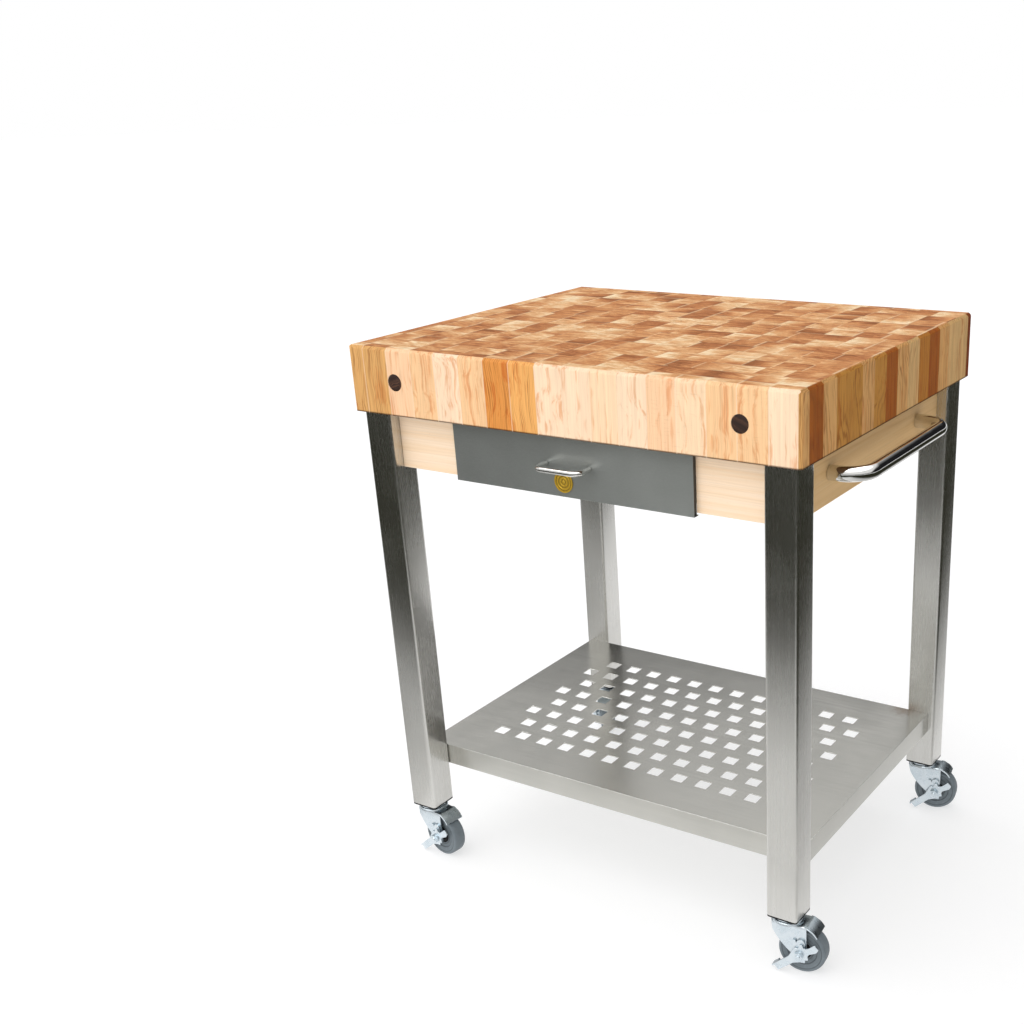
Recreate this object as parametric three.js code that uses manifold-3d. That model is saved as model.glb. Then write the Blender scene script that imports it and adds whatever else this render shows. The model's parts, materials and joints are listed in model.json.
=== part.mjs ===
// A kitchen island cart: a thick end-grain maple block on four square stainless tube legs, with maple
// aprons, a shallow steel drawer, a perforated lower shelf, a towel bar and four braked swivel casters.
//
// Millimetres, +Z up. The front is -Y. Everything is laid out about the middle of the block's plan with
// the floor at z = 0, and the finished cart is moved so that the middle of its footprint is the origin.
import * as THREE from 'three';
import { mergeVertices } from 'three/addons/utils/BufferGeometryUtils.js';
import Module from 'manifold-3d';

const wasm = await Module();
wasm.setup();

// ---------------------------------------------------------------- driving dimensions

const GAP = 0.3; // left between pieces that touch

const OVERALL_HEIGHT = 889;
const block = { width: 762, depth: 609.6, thickness: 101.6, chamfer: 4.5 };
const plug = { radius: 12.7, length: 9, fromEnd: 88, clearance: 0.2 };
const tieRod = { radius: 4.8, nutRadius: 10, nutLength: 8, clearance: 0.4 };

const leg = { side: 50, wall: 2, corner: 4, inset: 10 };
const legPlate = { reach: 52, thickness: 3, step: 0.7, hole: 2.6, holeNear: 14, holeFar: 40 };
const apron = { height: 88.9, thickness: 19, recess: 20 };
const shelf = { topHeight: 197, lip: 36, sheet: 1.6, sideInset: 11 };
const shelfHoles = { side: 22.6, pitch: 45.2, longRow: 13, rows: 8 };

const drawerFront = { width: 416, height: 91, top: 3, proud: 7, underLip: 11, sheet: 1.6 };
const drawerBox = { width: 390, height: 70, depth: 450, sheet: 1.5, underTop: 13 };
const runner = { width: 12.2, height: 38, sheet: 1.5, nested: 1 };
const support = { thickness: 19, height: 70 };
const pull = { radius: 4.1, spacing: 76, projection: 31, bend: 14, raise: 1.5 };
const pullScrew = { shank: 2, head: 4.5, headLength: 2.5, reach: 14, clearance: 0.2 };
const badge = { radius: 16, thickness: 1.4, offset: -9, aboveEdge: 22.5 };
const towelBar = { radius: 11, spacing: 316, projection: 50, bend: 38 };
const barScrew = { shank: 3, head: 7, headLength: 3, grip: 34.5, clearance: 0.2 };

const caster = { height: 95.4, trail: 25, running: 0.3 };
const socket = { flange: 1.3, flangeStep: 0.5, depth: 30 };
const stem = { radius: 5.5, top: 122, rivetRadius: 8.5, rivetHeight: 3, cupRadius: 22, chamfer: 1.5 };
const wheel = {
  radius: 37.5,
  halfWidth: 12,
  treadHalfWidth: 8,
  shoulder: 3,
  stepRadius: 24,
  stepHalfWidth: 9.5,
  dishHalfWidth: 8.5,
  coreRadius: 15,
  webHalfWidth: 9.5,
  bossRadius: 9,
  bossHalfWidth: 13.5,
  sides: 32,
};
const axle = { radius: 4, headRadius: 7.4, headLength: 5 };
const fork = {
  crown: 26,
  reach: 33,
  halfWidth: 17.5,
  sheet: 2.5,
  top: 84,
  raceTop: 88.2,
  raceRadius: 23,
  eye: 11,
  eyeStart: THREE.MathUtils.degToRad(227),
  shoulder: 66,
};
// The fender's bends: how far each is past the crown's end, and how far below its top.
const fenderBends = [[-2, 0], [2.4, 0.3], [11.5, 5.4], [18.6, 14]];
// The plate that carries the brake, measured from the axle.
const bracket = { behind: 11, ahead: 8, low: 8, high: 25 };
const brake = {
  inner: 21,
  sheet: 2.5,
  angle: THREE.MathUtils.degToRad(220),
  halfWidth: 6,
  armStart: 16,
  armEnd: 48,
  padStart: 40,
  padEnd: 52,
  padDepth: 11,
};

// Which way each caster trails, in degrees about Z from +X.
const casterTrail = { front_left: -8, front_right: 6, back_right: 11, back_left: -60 };

const blockBottom = OVERALL_HEIGHT - block.thickness;
const legCentre = {
  x: block.width / 2 - leg.inset - leg.side / 2,
  y: block.depth / 2 - leg.inset - leg.side / 2,
};
const legInner = { x: legCentre.x - leg.side / 2, y: legCentre.y - leg.side / 2 };
const apronFace = {
  x: legCentre.x + leg.side / 2 - apron.recess,
  y: legCentre.y + leg.side / 2 - apron.recess,
};
const barHeight = blockBottom - apron.height / 2;
const drawerTop = blockBottom - drawerFront.top;
const drawerBottom = drawerTop - drawerFront.height;
const drawerFaceY = -apronFace.y - drawerFront.proud;
const boxFrontY = drawerFaceY + drawerFront.sheet + GAP;
const boxHigh = blockBottom - drawerBox.underTop;
const boxLow = boxHigh - drawerBox.height;
const runnerMiddle = boxLow + drawerBox.height / 2;
const pullHeight = (drawerTop + drawerBottom) / 2 + pull.raise;

const leftRight = [['left', -1], ['right', 1]];
const frontBack = [['front', -1], ['back', 1]];
const corners = [
  { name: 'front_left', x: -1, y: -1 },
  { name: 'front_right', x: 1, y: -1 },
  { name: 'back_right', x: 1, y: 1 },
  { name: 'back_left', x: -1, y: 1 },
];

// ---------------------------------------------------------------- materials

const finish = (color, roughness, metalness) =>
  new THREE.MeshStandardMaterial({ color, roughness, metalness });

const materials = {
  endGrain: finish(0xc99263, 0.5, 0),
  maple: finish(0xe9cda6, 0.55, 0),
  walnut: finish(0x4f3222, 0.5, 0),
  brushedSteel: finish(0xa9a8a0, 0.38, 1),
  sheetSteel: finish(0x72736c, 0.45, 1),
  polishedSteel: finish(0xd8d8d6, 0.12, 1),
  zinc: finish(0xc4ccd2, 0.3, 1),
  rubber: finish(0x6f7477, 0.8, 0),
  darkPlastic: finish(0x1d1d1f, 0.6, 0),
  brass: finish(0xc6a136, 0.35, 1),
};

// ---------------------------------------------------------------- solids

// A box between two opposite corners.
function boxBetween(first, second) {
  const size = first.map((value, axis) => Math.abs(second[axis] - value));
  const middle = first.map((value, axis) => (value + second[axis]) / 2);
  return new THREE.BoxGeometry(...size).translate(...middle);
}

// A cylinder between two values along one axis, through a point of the plane square to that axis.
function rod(axis, radius, from, to, centre, sides = 24) {
  const geometry = new THREE.CylinderGeometry(radius, radius, Math.abs(to - from), sides);
  geometry.translate(0, (from + to) / 2, 0);
  if (axis === 'x') return geometry.rotateZ(-Math.PI / 2).translate(0, centre[0], centre[1]);
  if (axis === 'y') return geometry.translate(centre[0], 0, centre[1]);
  return geometry.rotateX(Math.PI / 2).translate(centre[0], centre[1], 0);
}

// A profile of [radius, height] points turned about Z, listed upwards along its outside.
function turned(profile, sides) {
  const points = profile.map(([radius, height]) => new THREE.Vector2(radius, height));
  return new THREE.LatheGeometry(points, sides).rotateX(Math.PI / 2);
}

// A profile of [radius, offset] points turned about Y.
function turnedAboutY(profile, sides) {
  const points = profile.map(([radius, offset]) => new THREE.Vector2(radius, offset));
  return new THREE.LatheGeometry(points, sides);
}

// A flat outline drawn in X and Z, as thick as the step in Y from `from` to `to`.
function plateInXZ(outline, from, to, curveSegments = 6) {
  const options = { depth: to - from, bevelEnabled: false, curveSegments };
  return new THREE.ExtrudeGeometry(outline, options).rotateX(Math.PI / 2).translate(0, to, 0);
}

// A flat outline drawn in X and Y, between two heights.
function plateInXY(outline, from, to, curveSegments = 6) {
  const options = { depth: to - from, bevelEnabled: false, curveSegments };
  return new THREE.ExtrudeGeometry(outline, options).translate(0, 0, from);
}

// A square outline with rounded corners about the origin.
function roundedSquare(side, corner) {
  const h = side / 2;
  const outline = new THREE.Shape();
  outline.moveTo(h - corner, -h);
  outline.absarc(h - corner, corner - h, corner, -Math.PI / 2, 0, false);
  outline.absarc(h - corner, h - corner, corner, 0, Math.PI / 2, false);
  outline.absarc(corner - h, h - corner, corner, Math.PI / 2, Math.PI, false);
  outline.absarc(corner - h, corner - h, corner, Math.PI, Math.PI * 1.5, false);
  outline.closePath();
  return outline;
}

function manifoldOf(geometry) {
  const bare = geometry.clone();
  bare.deleteAttribute('normal');
  bare.deleteAttribute('uv');
  const merged = mergeVertices(bare, 1e-4);
  const vertProperties = new Float32Array(merged.attributes.position.array);
  const triVerts = new Uint32Array(merged.index.array);
  return new wasm.Manifold(new wasm.Mesh({ numProp: 3, vertProperties, triVerts }));
}

function geometryOf(manifold) {
  const mesh = manifold.getMesh();
  const geometry = new THREE.BufferGeometry();
  geometry.setAttribute('position', new THREE.BufferAttribute(new Float32Array(mesh.vertProperties), 3));
  geometry.setIndex(new THREE.BufferAttribute(new Uint32Array(mesh.triVerts), 1));
  const faceted = geometry.toNonIndexed();
  faceted.computeVertexNormals();
  return faceted;
}

const combine = (operation, first, rest) =>
  geometryOf(rest.reduce((made, piece) => made[operation](manifoldOf(piece)), manifoldOf(first)));
const join = (first, ...rest) => combine('add', first, rest);
const cut = (first, ...rest) => combine('subtract', first, rest);
const common = (first, ...rest) => combine('intersect', first, rest);

function place(parent, name, geometry, material) {
  const mesh = new THREE.Mesh(geometry, material);
  mesh.name = name;
  parent.add(mesh);
  return mesh;
}

// A U-shaped bar in a plane: out from one foot, round two bends and back to the other foot.
// `toPoint` turns (along, out) into a point of space.
function uBar(size, quarterSides, steps, toPoint) {
  const half = size.spacing / 2;
  const arm = size.projection;
  const bend = size.bend;
  const handle = bend * 0.5523; // length of a Bezier handle that draws a quarter circle
  const path = new THREE.CurvePath();
  path.add(new THREE.LineCurve3(toPoint(-half, 0), toPoint(-half, arm - bend)));
  path.add(new THREE.CubicBezierCurve3(
    toPoint(-half, arm - bend),
    toPoint(-half, arm - bend + handle),
    toPoint(-half + bend - handle, arm),
    toPoint(-half + bend, arm),
  ));
  path.add(new THREE.LineCurve3(toPoint(-half + bend, arm), toPoint(half - bend, arm)));
  path.add(new THREE.CubicBezierCurve3(
    toPoint(half - bend, arm),
    toPoint(half - bend + handle, arm),
    toPoint(half, arm - bend + handle),
    toPoint(half, arm - bend),
  ));
  path.add(new THREE.LineCurve3(toPoint(half, arm - bend), toPoint(half, 0)));
  const section = new THREE.Shape();
  section.absarc(0, 0, size.radius, 0, Math.PI * 2, false);
  const options = { steps, curveSegments: 2 * quarterSides, bevelEnabled: false, extrudePath: path };
  return new THREE.ExtrudeGeometry(section, options);
}

// ---------------------------------------------------------------- the block and what holds it together

// A slab with its top edges and its four upright corners chamfered at 45 degrees.
function blockSlab() {
  const { width, depth, thickness, chamfer } = block;
  const outlineOf = (a, b, shrink) => {
    const outline = new THREE.Shape();
    outline.moveTo(-a / 2 + shrink, -b / 2);
    outline.lineTo(a / 2 - shrink, -b / 2);
    outline.lineTo(a / 2, -b / 2 + shrink);
    outline.lineTo(a / 2, b / 2 - shrink);
    outline.lineTo(a / 2 - shrink, b / 2);
    outline.lineTo(-a / 2 + shrink, b / 2);
    outline.lineTo(-a / 2, b / 2 - shrink);
    outline.lineTo(-a / 2, -b / 2 + shrink);
    outline.closePath();
    return outline;
  };
  const plan = plateInXY(outlineOf(width, depth, chamfer), blockBottom, OVERALL_HEIGHT);
  // Seen from one side the slab is a rectangle with its two upper corners cut off.
  const bevelled = (span) => {
    const outline = new THREE.Shape();
    outline.moveTo(-span / 2, 0);
    outline.lineTo(span / 2, 0);
    outline.lineTo(span / 2, thickness - chamfer);
    outline.lineTo(span / 2 - chamfer, thickness);
    outline.lineTo(-span / 2 + chamfer, thickness);
    outline.lineTo(-span / 2, thickness - chamfer);
    outline.closePath();
    return outline;
  };
  const across = plateInXZ(bevelled(width), -depth, depth).translate(0, 0, blockBottom);
  const along = plateInXZ(bevelled(depth), -width, width).rotateZ(Math.PI / 2).translate(0, 0, blockBottom);
  return common(plan, across, along);
}

// Two steel rods draw the block together. Their nuts sit in counterbores that the plugs close.
function addBlock(cart) {
  const middle = blockBottom + block.thickness / 2;
  const face = block.depth / 2;
  const plugX = block.width / 2 - plug.fromEnd;
  const rodEnd = face - plug.length - 2 * GAP;
  const nutInner = rodEnd - tieRod.nutLength;
  const tools = [];
  for (const [side, x] of leftRight) {
    const at = [x * plugX, middle];
    tools.push(rod('y', tieRod.radius + tieRod.clearance, -face, face, at, 12));
    const nuts = [];
    for (const [end, y] of frontBack) {
      tools.push(rod('y', plug.radius + plug.clearance, y * (nutInner - GAP), y * block.depth, at));
      nuts.push(rod('y', tieRod.nutRadius, y * nutInner, y * rodEnd, at, 6));
      const plugBody = rod('y', plug.radius, y * (face - plug.length), y * face, at);
      place(cart, `plug_${end}_${side}`, plugBody, materials.walnut);
    }
    const shank = rod('y', tieRod.radius, -rodEnd, rodEnd, at, 12);
    place(cart, `tie_rod_${side}`, join(shank, ...nuts), materials.zinc);
  }
  place(cart, 'butcher_block', cut(blockSlab(), ...tools), materials.endGrain);
}

// ---------------------------------------------------------------- legs, aprons and shelf

// A square tube, closed at its top by the plate that screws up into the block from inside the corner.
function addLeg(cart, corner) {
  const top = blockBottom - GAP;
  const plateLow = top - legPlate.thickness;
  const tube = plateInXY(roundedSquare(leg.side, leg.corner), caster.height, top - legPlate.step, 1);
  const bore = plateInXY(roundedSquare(leg.side - 2 * leg.wall, leg.corner - leg.wall), 0, plateLow, 1);
  for (const piece of [tube, bore]) {
    piece.translate(corner.x * legCentre.x, corner.y * legCentre.y, 0);
  }
  // A place on the plate, given by its distances in from the leg's two inner faces.
  const inFrom = (dx, dy) => [corner.x * (legInner.x - dx), corner.y * (legInner.y - dy)];
  const overlap = -apron.recess / 2;
  const { reach, hole, holeNear, holeFar } = legPlate;
  const plate = boxBetween([...inFrom(overlap, overlap), plateLow], [...inFrom(reach, reach), top]);
  const holes = [[holeNear, holeNear], [holeNear, holeFar], [holeFar, holeNear]].map(([dx, dy]) =>
    rod('z', hole, 0, OVERALL_HEIGHT, inFrom(dx, dy), 12));
  place(cart, `leg_${corner.name}`, cut(join(tube, plate), bore, ...holes), materials.brushedSteel);
}

function addAprons(cart) {
  const high = blockBottom - GAP;
  const low = blockBottom - apron.height;
  const legX = legInner.x - GAP;
  const legY = legInner.y - GAP;
  const opening = drawerBox.width / 2 + runner.width + 2 * GAP;
  const { x: faceX, y: faceY } = apronFace;
  const board = (name, x0, x1, y0, y1) =>
    place(cart, name, boxBetween([x0, y0, low], [x1, y1, high]), materials.maple);
  board('apron_front_left', -legX, -opening, -faceY, -faceY + apron.thickness);
  board('apron_front_right', opening, legX, -faceY, -faceY + apron.thickness);
  board('apron_back', -legX, legX, faceY - apron.thickness, faceY);
  board('apron_left', -faceX, -faceX + apron.thickness, -legY, legY);

  // The right-hand board is bored for the two screws that hold the towel bar.
  const bored = boxBetween([faceX - apron.thickness, -legY, low], [faceX, legY, high]);
  const holes = [-1, 1].map((y) =>
    rod('x', barScrew.shank + GAP, 0, block.width, [(y * towelBar.spacing) / 2, barHeight], 12));
  place(cart, 'apron_right', cut(bored, ...holes), materials.maple);
}

// A sheet pan turned down on all four sides, with staggered rows of square holes.
function addShelf(cart) {
  const halfX = legCentre.x + leg.side / 2 - shelf.sideInset;
  const halfY = legInner.y - GAP;
  const { topHeight, lip, sheet } = shelf;
  const pan = boxBetween([-halfX, -halfY, topHeight - lip], [halfX, halfY, topHeight]);
  const hollow = boxBetween(
    [-halfX + sheet, -halfY + sheet, 0],
    [halfX - sheet, halfY - sheet, topHeight - sheet],
  );
  const holes = [];
  const h = shelfHoles.side / 2;
  for (let row = 0; row < shelfHoles.rows; row += 1) {
    const count = shelfHoles.longRow - (row % 2);
    const y = (row - (shelfHoles.rows - 1) / 2) * shelfHoles.pitch;
    for (let column = 0; column < count; column += 1) {
      const x = (column - (count - 1) / 2) * shelfHoles.pitch;
      holes.push(boxBetween([x - h, y - h, 0], [x + h, y + h, OVERALL_HEIGHT]));
    }
  }
  place(cart, 'shelf', cut(pan, hollow, ...holes), materials.brushedSteel);
}

// ---------------------------------------------------------------- towel bar

// A bent tube with solid ends, each held by a screw through the right-hand apron.
function addTowelBar(cart) {
  const faceX = apronFace.x + GAP;
  const backX = apronFace.x - apron.thickness;
  const screwEnd = backX + barScrew.grip;
  const headOuter = backX - GAP - barScrew.headLength;
  const bar = uBar(towelBar, 3, 30, (along, out) => new THREE.Vector3(faceX + out, along, barHeight));
  const bores = [];
  for (const [end, side] of frontBack) {
    const at = [(side * towelBar.spacing) / 2, barHeight];
    bores.push(rod('x', barScrew.shank + barScrew.clearance, backX, screwEnd + GAP, at, 12));
    const shank = rod('x', barScrew.shank, headOuter + 1, screwEnd, at, 12);
    const head = rod('x', barScrew.head, headOuter, backX - GAP, at, 16);
    place(cart, `towel_bar_screw_${end}`, join(head, shank), materials.zinc);
  }
  place(cart, 'towel_bar', cut(bar, ...bores), materials.polishedSteel);
}

// ---------------------------------------------------------------- drawer

// Both of the pull's screws, or the holes for them, as cylinders along Y.
function pullScrewHoles(radius, from, to) {
  return [-1, 1].map((x) => rod('y', radius, from, to, [(x * pull.spacing) / 2, pullHeight], 12));
}

// A flat pan whose turned-back sides reach the apron, with a deeper lip that passes under it.
function addDrawerFront(cart) {
  const half = drawerFront.width / 2;
  const { sheet } = drawerFront;
  const sideBack = -apronFace.y - GAP;
  const pan = cut(
    boxBetween([-half, drawerFaceY, drawerBottom], [half, sideBack, drawerTop]),
    boxBetween(
      [-half + sheet, drawerFaceY + sheet, drawerBottom + sheet],
      [half - sheet, sideBack + sheet, drawerTop - sheet],
    ),
  );
  const lip = boxBetween(
    [-half, drawerFaceY + sheet / 2, drawerBottom],
    [half, drawerFaceY + drawerFront.underLip, drawerBottom + sheet],
  );
  const holes = pullScrewHoles(pullScrew.shank + pullScrew.clearance, drawerFaceY - 5, drawerFaceY + 5);
  place(cart, 'drawer_front', cut(join(pan, lip), ...holes), materials.sheetSteel);
}

function addDrawerBox(cart) {
  const half = drawerBox.width / 2;
  const { sheet, depth } = drawerBox;
  const tray = cut(
    boxBetween([-half, boxFrontY, boxLow], [half, boxFrontY + depth, boxHigh]),
    boxBetween(
      [-half + sheet, boxFrontY + sheet, boxLow + sheet],
      [half - sheet, boxFrontY + depth - sheet, boxHigh + sheet],
    ),
    ...pullScrewHoles(pullScrew.shank + pullScrew.clearance, boxFrontY - 5, boxFrontY + 5),
  );
  place(cart, 'drawer_box', tray, materials.sheetSteel);
}

function addPull(cart) {
  const footY = drawerFaceY - GAP;
  const barAt = (along, out) => new THREE.Vector3(along, footY - out, pullHeight);
  const bar = uBar(pull, 2, 26, barAt);
  const tip = footY - pullScrew.reach;
  const bores = pullScrewHoles(pullScrew.shank + pullScrew.clearance, tip - GAP, footY + 1);
  place(cart, 'drawer_pull', cut(bar, ...bores), materials.polishedSteel);
  const seat = boxFrontY + drawerBox.sheet + GAP;
  const shanks = pullScrewHoles(pullScrew.shank, tip, seat + pullScrew.headLength / 2);
  const heads = [-1, 1].map((x) => {
    const at = [(x * pull.spacing) / 2, pullHeight];
    return rod('y', pullScrew.head, seat, seat + pullScrew.headLength, at, 16);
  });
  for (const [index, [side]] of leftRight.entries()) {
    place(cart, `pull_screw_${side}`, join(shanks[index], heads[index]), materials.zinc);
  }
}

function addBadge(cart) {
  const at = [badge.offset, drawerBottom + badge.aboveEdge];
  const face = drawerFaceY - GAP;
  place(cart, 'drawer_badge', rod('y', badge.radius, face - badge.thickness, face, at, 32), materials.brass);
}

// A C channel open towards -X, with its back on the plane x = 0, between two values of Y.
function channel(width, height, sheet, from, to) {
  const outline = new THREE.Shape();
  outline.moveTo(0, -height / 2);
  outline.lineTo(0, height / 2);
  outline.lineTo(-width, height / 2);
  outline.lineTo(-width, height / 2 - sheet);
  outline.lineTo(-sheet, height / 2 - sheet);
  outline.lineTo(-sheet, -height / 2 + sheet);
  outline.lineTo(-width, -height / 2 + sheet);
  outline.lineTo(-width, -height / 2);
  outline.closePath();
  return plateInXZ(outline, from, to);
}

// Each side has a wooden support, a fixed outer channel on it, and an inner channel on the drawer.
function addRunners(cart) {
  const outerBack = drawerBox.width / 2 + runner.width + GAP;
  const front = boxFrontY + apron.thickness / 2;
  const back = boxFrontY + drawerBox.depth;
  const supportFront = -apronFace.y + apron.thickness + GAP;
  const supportBack = apronFace.y - apron.thickness - GAP;
  const nestedHeight = runner.height - 2 * (runner.sheet + runner.nested);
  const nestedWidth = runner.width - runner.sheet - runner.nested;
  const supportHigh = blockBottom - GAP;
  const supportInner = outerBack + GAP;
  for (const [side, x] of leftRight) {
    const board = boxBetween(
      [x * supportInner, supportFront, supportHigh - support.height],
      [x * (supportInner + support.thickness), supportBack, supportHigh],
    );
    place(cart, `drawer_support_${side}`, board, materials.maple);

    const turn = x > 0 ? 0 : Math.PI;
    const middleY = (front + back) / 2;
    const outer = channel(runner.width, runner.height, runner.sheet, front - middleY, back - middleY);
    outer.rotateZ(turn).translate(x * outerBack, middleY, runnerMiddle);
    place(cart, `runner_outer_${side}`, outer, materials.zinc);

    const inner = channel(nestedWidth, nestedHeight, runner.sheet, front - middleY, back - middleY);
    inner.rotateZ(turn + Math.PI).translate(x * (drawerBox.width / 2 + GAP), middleY, runnerMiddle);
    place(cart, `runner_inner_${side}`, inner, materials.zinc);
  }
}

// ---------------------------------------------------------------- casters

const axleAt = [caster.trail, wheel.radius]; // in a caster's own X and Z

// The plastic insert in the leg's open end, with a flange under the tube and a bore for the stem.
function addSocket(cart, corner) {
  const inside = leg.side - 2 * (leg.wall + GAP);
  const under = caster.height - GAP;
  const flange = plateInXY(
    roundedSquare(leg.side - 2 * socket.flangeStep, leg.corner),
    under - socket.flange,
    under,
    1,
  );
  const insert = plateInXY(
    roundedSquare(inside, leg.corner - leg.wall),
    under - socket.flange / 2,
    under + socket.depth,
    1,
  );
  const bore = rod('z', stem.radius + caster.running, 0, OVERALL_HEIGHT, [0, 0], 12);
  const body = cut(join(flange, insert), bore);
  body.translate(corner.x * legCentre.x, corner.y * legCentre.y, 0);
  place(cart, `caster_socket_${corner.name}`, body, materials.darkPlastic);
}

// The stem that stays with the leg: a rivet head under the fork, a raceway cup over it, and the stem.
function casterStem() {
  const { radius, top, rivetRadius, rivetHeight, cupRadius, chamfer } = stem;
  const cupTop = caster.height - socket.flange - 2 * GAP;
  const cupLow = fork.raceTop + GAP;
  const rivetTop = fork.top - fork.sheet - GAP;
  return turned([
    [0, rivetTop - rivetHeight],
    [rivetRadius - chamfer, rivetTop - rivetHeight],
    [rivetRadius, rivetTop - rivetHeight + chamfer],
    [rivetRadius, rivetTop],
    [radius, rivetTop],
    [radius, cupLow],
    [cupRadius, cupLow],
    [cupRadius, cupTop - chamfer],
    [cupRadius - chamfer, cupTop],
    [radius, cupTop],
    [radius, top - chamfer],
    [radius - chamfer, top],
    [0, top],
  ], 12);
}

// The outline of one side of the fork, from the crown down to the eye round the axle and back up.
function forkSide() {
  const { crown, reach, sheet, eye, eyeStart, shoulder } = fork;
  const high = fork.top - sheet / 2;
  const outline = new THREE.Shape();
  outline.moveTo(sheet - crown, high);
  outline.quadraticCurveTo(
    -crown / 2,
    wheel.radius + eye + sheet,
    caster.trail + eye * Math.cos(eyeStart),
    wheel.radius + eye * Math.sin(eyeStart),
  );
  outline.absarc(caster.trail, wheel.radius, eye, eyeStart, Math.PI * 2, false);
  outline.lineTo(reach + 1, shoulder);
  outline.lineTo(reach - 1, high);
  outline.closePath();
  return outline;
}

// The fender is a bent strip: its upper line, and the same line lower by the sheet's thickness.
function fenderStrip() {
  const { reach, top, sheet } = fork;
  const upper = fenderBends.map(([past, drop]) => [reach + past, top - drop]);
  const lower = upper.map(([x, z]) => [x, z - sheet]).reverse();
  const points = [...upper, ...lower].map(([x, z]) => new THREE.Vector2(x, z));
  return new THREE.Shape(points);
}

// The crown plate: round behind the stem, straight-sided in front of it.
function crownOutline() {
  const { crown, reach, halfWidth } = fork;
  const meet = Math.asin(halfWidth / crown);
  const outline = new THREE.Shape();
  outline.moveTo(reach, -halfWidth);
  outline.lineTo(reach, halfWidth);
  outline.absarc(0, 0, crown, meet, Math.PI * 2 - meet, false);
  outline.closePath();
  return outline;
}

// The swivelling fork: crown, raceway, two sides, a fender over the wheel and the brake's bracket.
function casterFork() {
  const { halfWidth, sheet, top, raceTop, raceRadius } = fork;
  const crown = plateInXY(crownOutline(), top - sheet, top, 8);
  const race = turned([[0, top - 1], [raceRadius + 1, top - 1], [raceRadius, raceTop], [0, raceTop]], 16);
  const sides = [-halfWidth, halfWidth - sheet].map((y) => plateInXZ(forkSide(), y, y + sheet, 3));
  const fender = plateInXZ(fenderStrip(), -halfWidth, halfWidth);
  const brakePlate = boxBetween(
    [caster.trail - bracket.behind, -brake.inner + GAP, wheel.radius + bracket.low],
    [caster.trail + bracket.ahead, -halfWidth + sheet / 2, wheel.radius + bracket.high],
  );
  const stemBore = rod('z', stem.radius + caster.running, 0, OVERALL_HEIGHT, [0, 0], 12);
  const axleBore = rod('y', axle.radius + caster.running, -block.depth, block.depth, axleAt, 12);
  return cut(join(crown, race, ...sides, fender, brakePlate), stemBore, axleBore);
}

// The axle bolt with its head outside the lever and its nut outside the far side of the fork.
function casterAxle() {
  const headInner = -brake.inner - brake.sheet - GAP;
  const nutInner = fork.halfWidth + GAP;
  const { radius, headRadius, headLength } = axle;
  const shank = rod('y', radius, headInner - headLength / 2, nutInner + headLength / 2, axleAt, 12);
  const head = rod('y', headRadius, headInner - headLength, headInner, axleAt, 6);
  const nut = rod('y', headRadius, nutInner, nutInner + headLength, axleAt, 6);
  return join(shank, head, nut);
}

// A solid turned about the axle, from [radius, offset] points outwards along one of its two equal sides.
function mirroredTurn(half, sides) {
  const near = half.map(([radius, offset]) => [radius, -offset]);
  const far = half.slice().reverse();
  return turnedAboutY([...near, ...far, near[0]], sides);
}

// The grey rubber tyre, dished on both sides down to the core.
function casterTyre() {
  const { radius, halfWidth, treadHalfWidth, shoulder, stepRadius, stepHalfWidth } = wheel;
  return mirroredTurn([
    [wheel.coreRadius + GAP, wheel.dishHalfWidth],
    [stepRadius, stepHalfWidth],
    [radius - shoulder, halfWidth],
    [radius, treadHalfWidth],
  ], wheel.sides);
}

// The wheel's plastic core: a web with a raised boss round its bore.
function casterCore() {
  const { coreRadius, webHalfWidth, bossRadius, bossHalfWidth } = wheel;
  return mirroredTurn([
    [axle.radius + caster.running, bossHalfWidth],
    [bossRadius, bossHalfWidth],
    [bossRadius + 1.5, webHalfWidth],
    [coreRadius, webHalfWidth],
  ], 16);
}

// The stamped brake lever: a lobe behind the axle, an arm down to the pedal, and the pedal's pad.
function casterBrake() {
  const { angle, halfWidth, armStart, armEnd, padStart, padEnd, sheet } = brake;
  const [axleX, axleZ] = axleAt;
  const outer = -brake.inner - sheet;
  // A place given by its distance from the axle along the arm and its distance to one side of it.
  const onArm = (distance, aside) => new THREE.Vector2(
    axleX + Math.cos(angle) * distance - Math.sin(angle) * aside,
    axleZ + Math.sin(angle) * distance + Math.cos(angle) * aside,
  );
  // The lobe's corners in X and Z from the axle, from the arm's upper edge round to its lower edge.
  const lobe = [[-7, 13], [9, 14], [25, 24], [32, 17], [29, 9], [17, 2], [14, -9], [2, -12]];
  const lever = new THREE.Shape([
    onArm(armEnd, -halfWidth),
    onArm(armStart, -halfWidth),
    ...lobe.map(([x, z]) => new THREE.Vector2(axleX + x, axleZ + z)),
    onArm(armStart, halfWidth),
    onArm(armEnd, halfWidth),
  ]);
  const pad = new THREE.Shape([
    onArm(padStart, -halfWidth),
    onArm(padEnd, -halfWidth),
    onArm(padEnd, sheet - halfWidth),
    onArm(padStart, sheet - halfWidth),
  ]);
  const plate = plateInXZ(lever, outer, -brake.inner);
  const padPlate = plateInXZ(pad, outer, outer + brake.padDepth);
  const bore = rod('y', axle.radius + caster.running, 0, -block.depth, axleAt, 12);
  return cut(join(plate, padPlate), bore);
}

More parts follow.
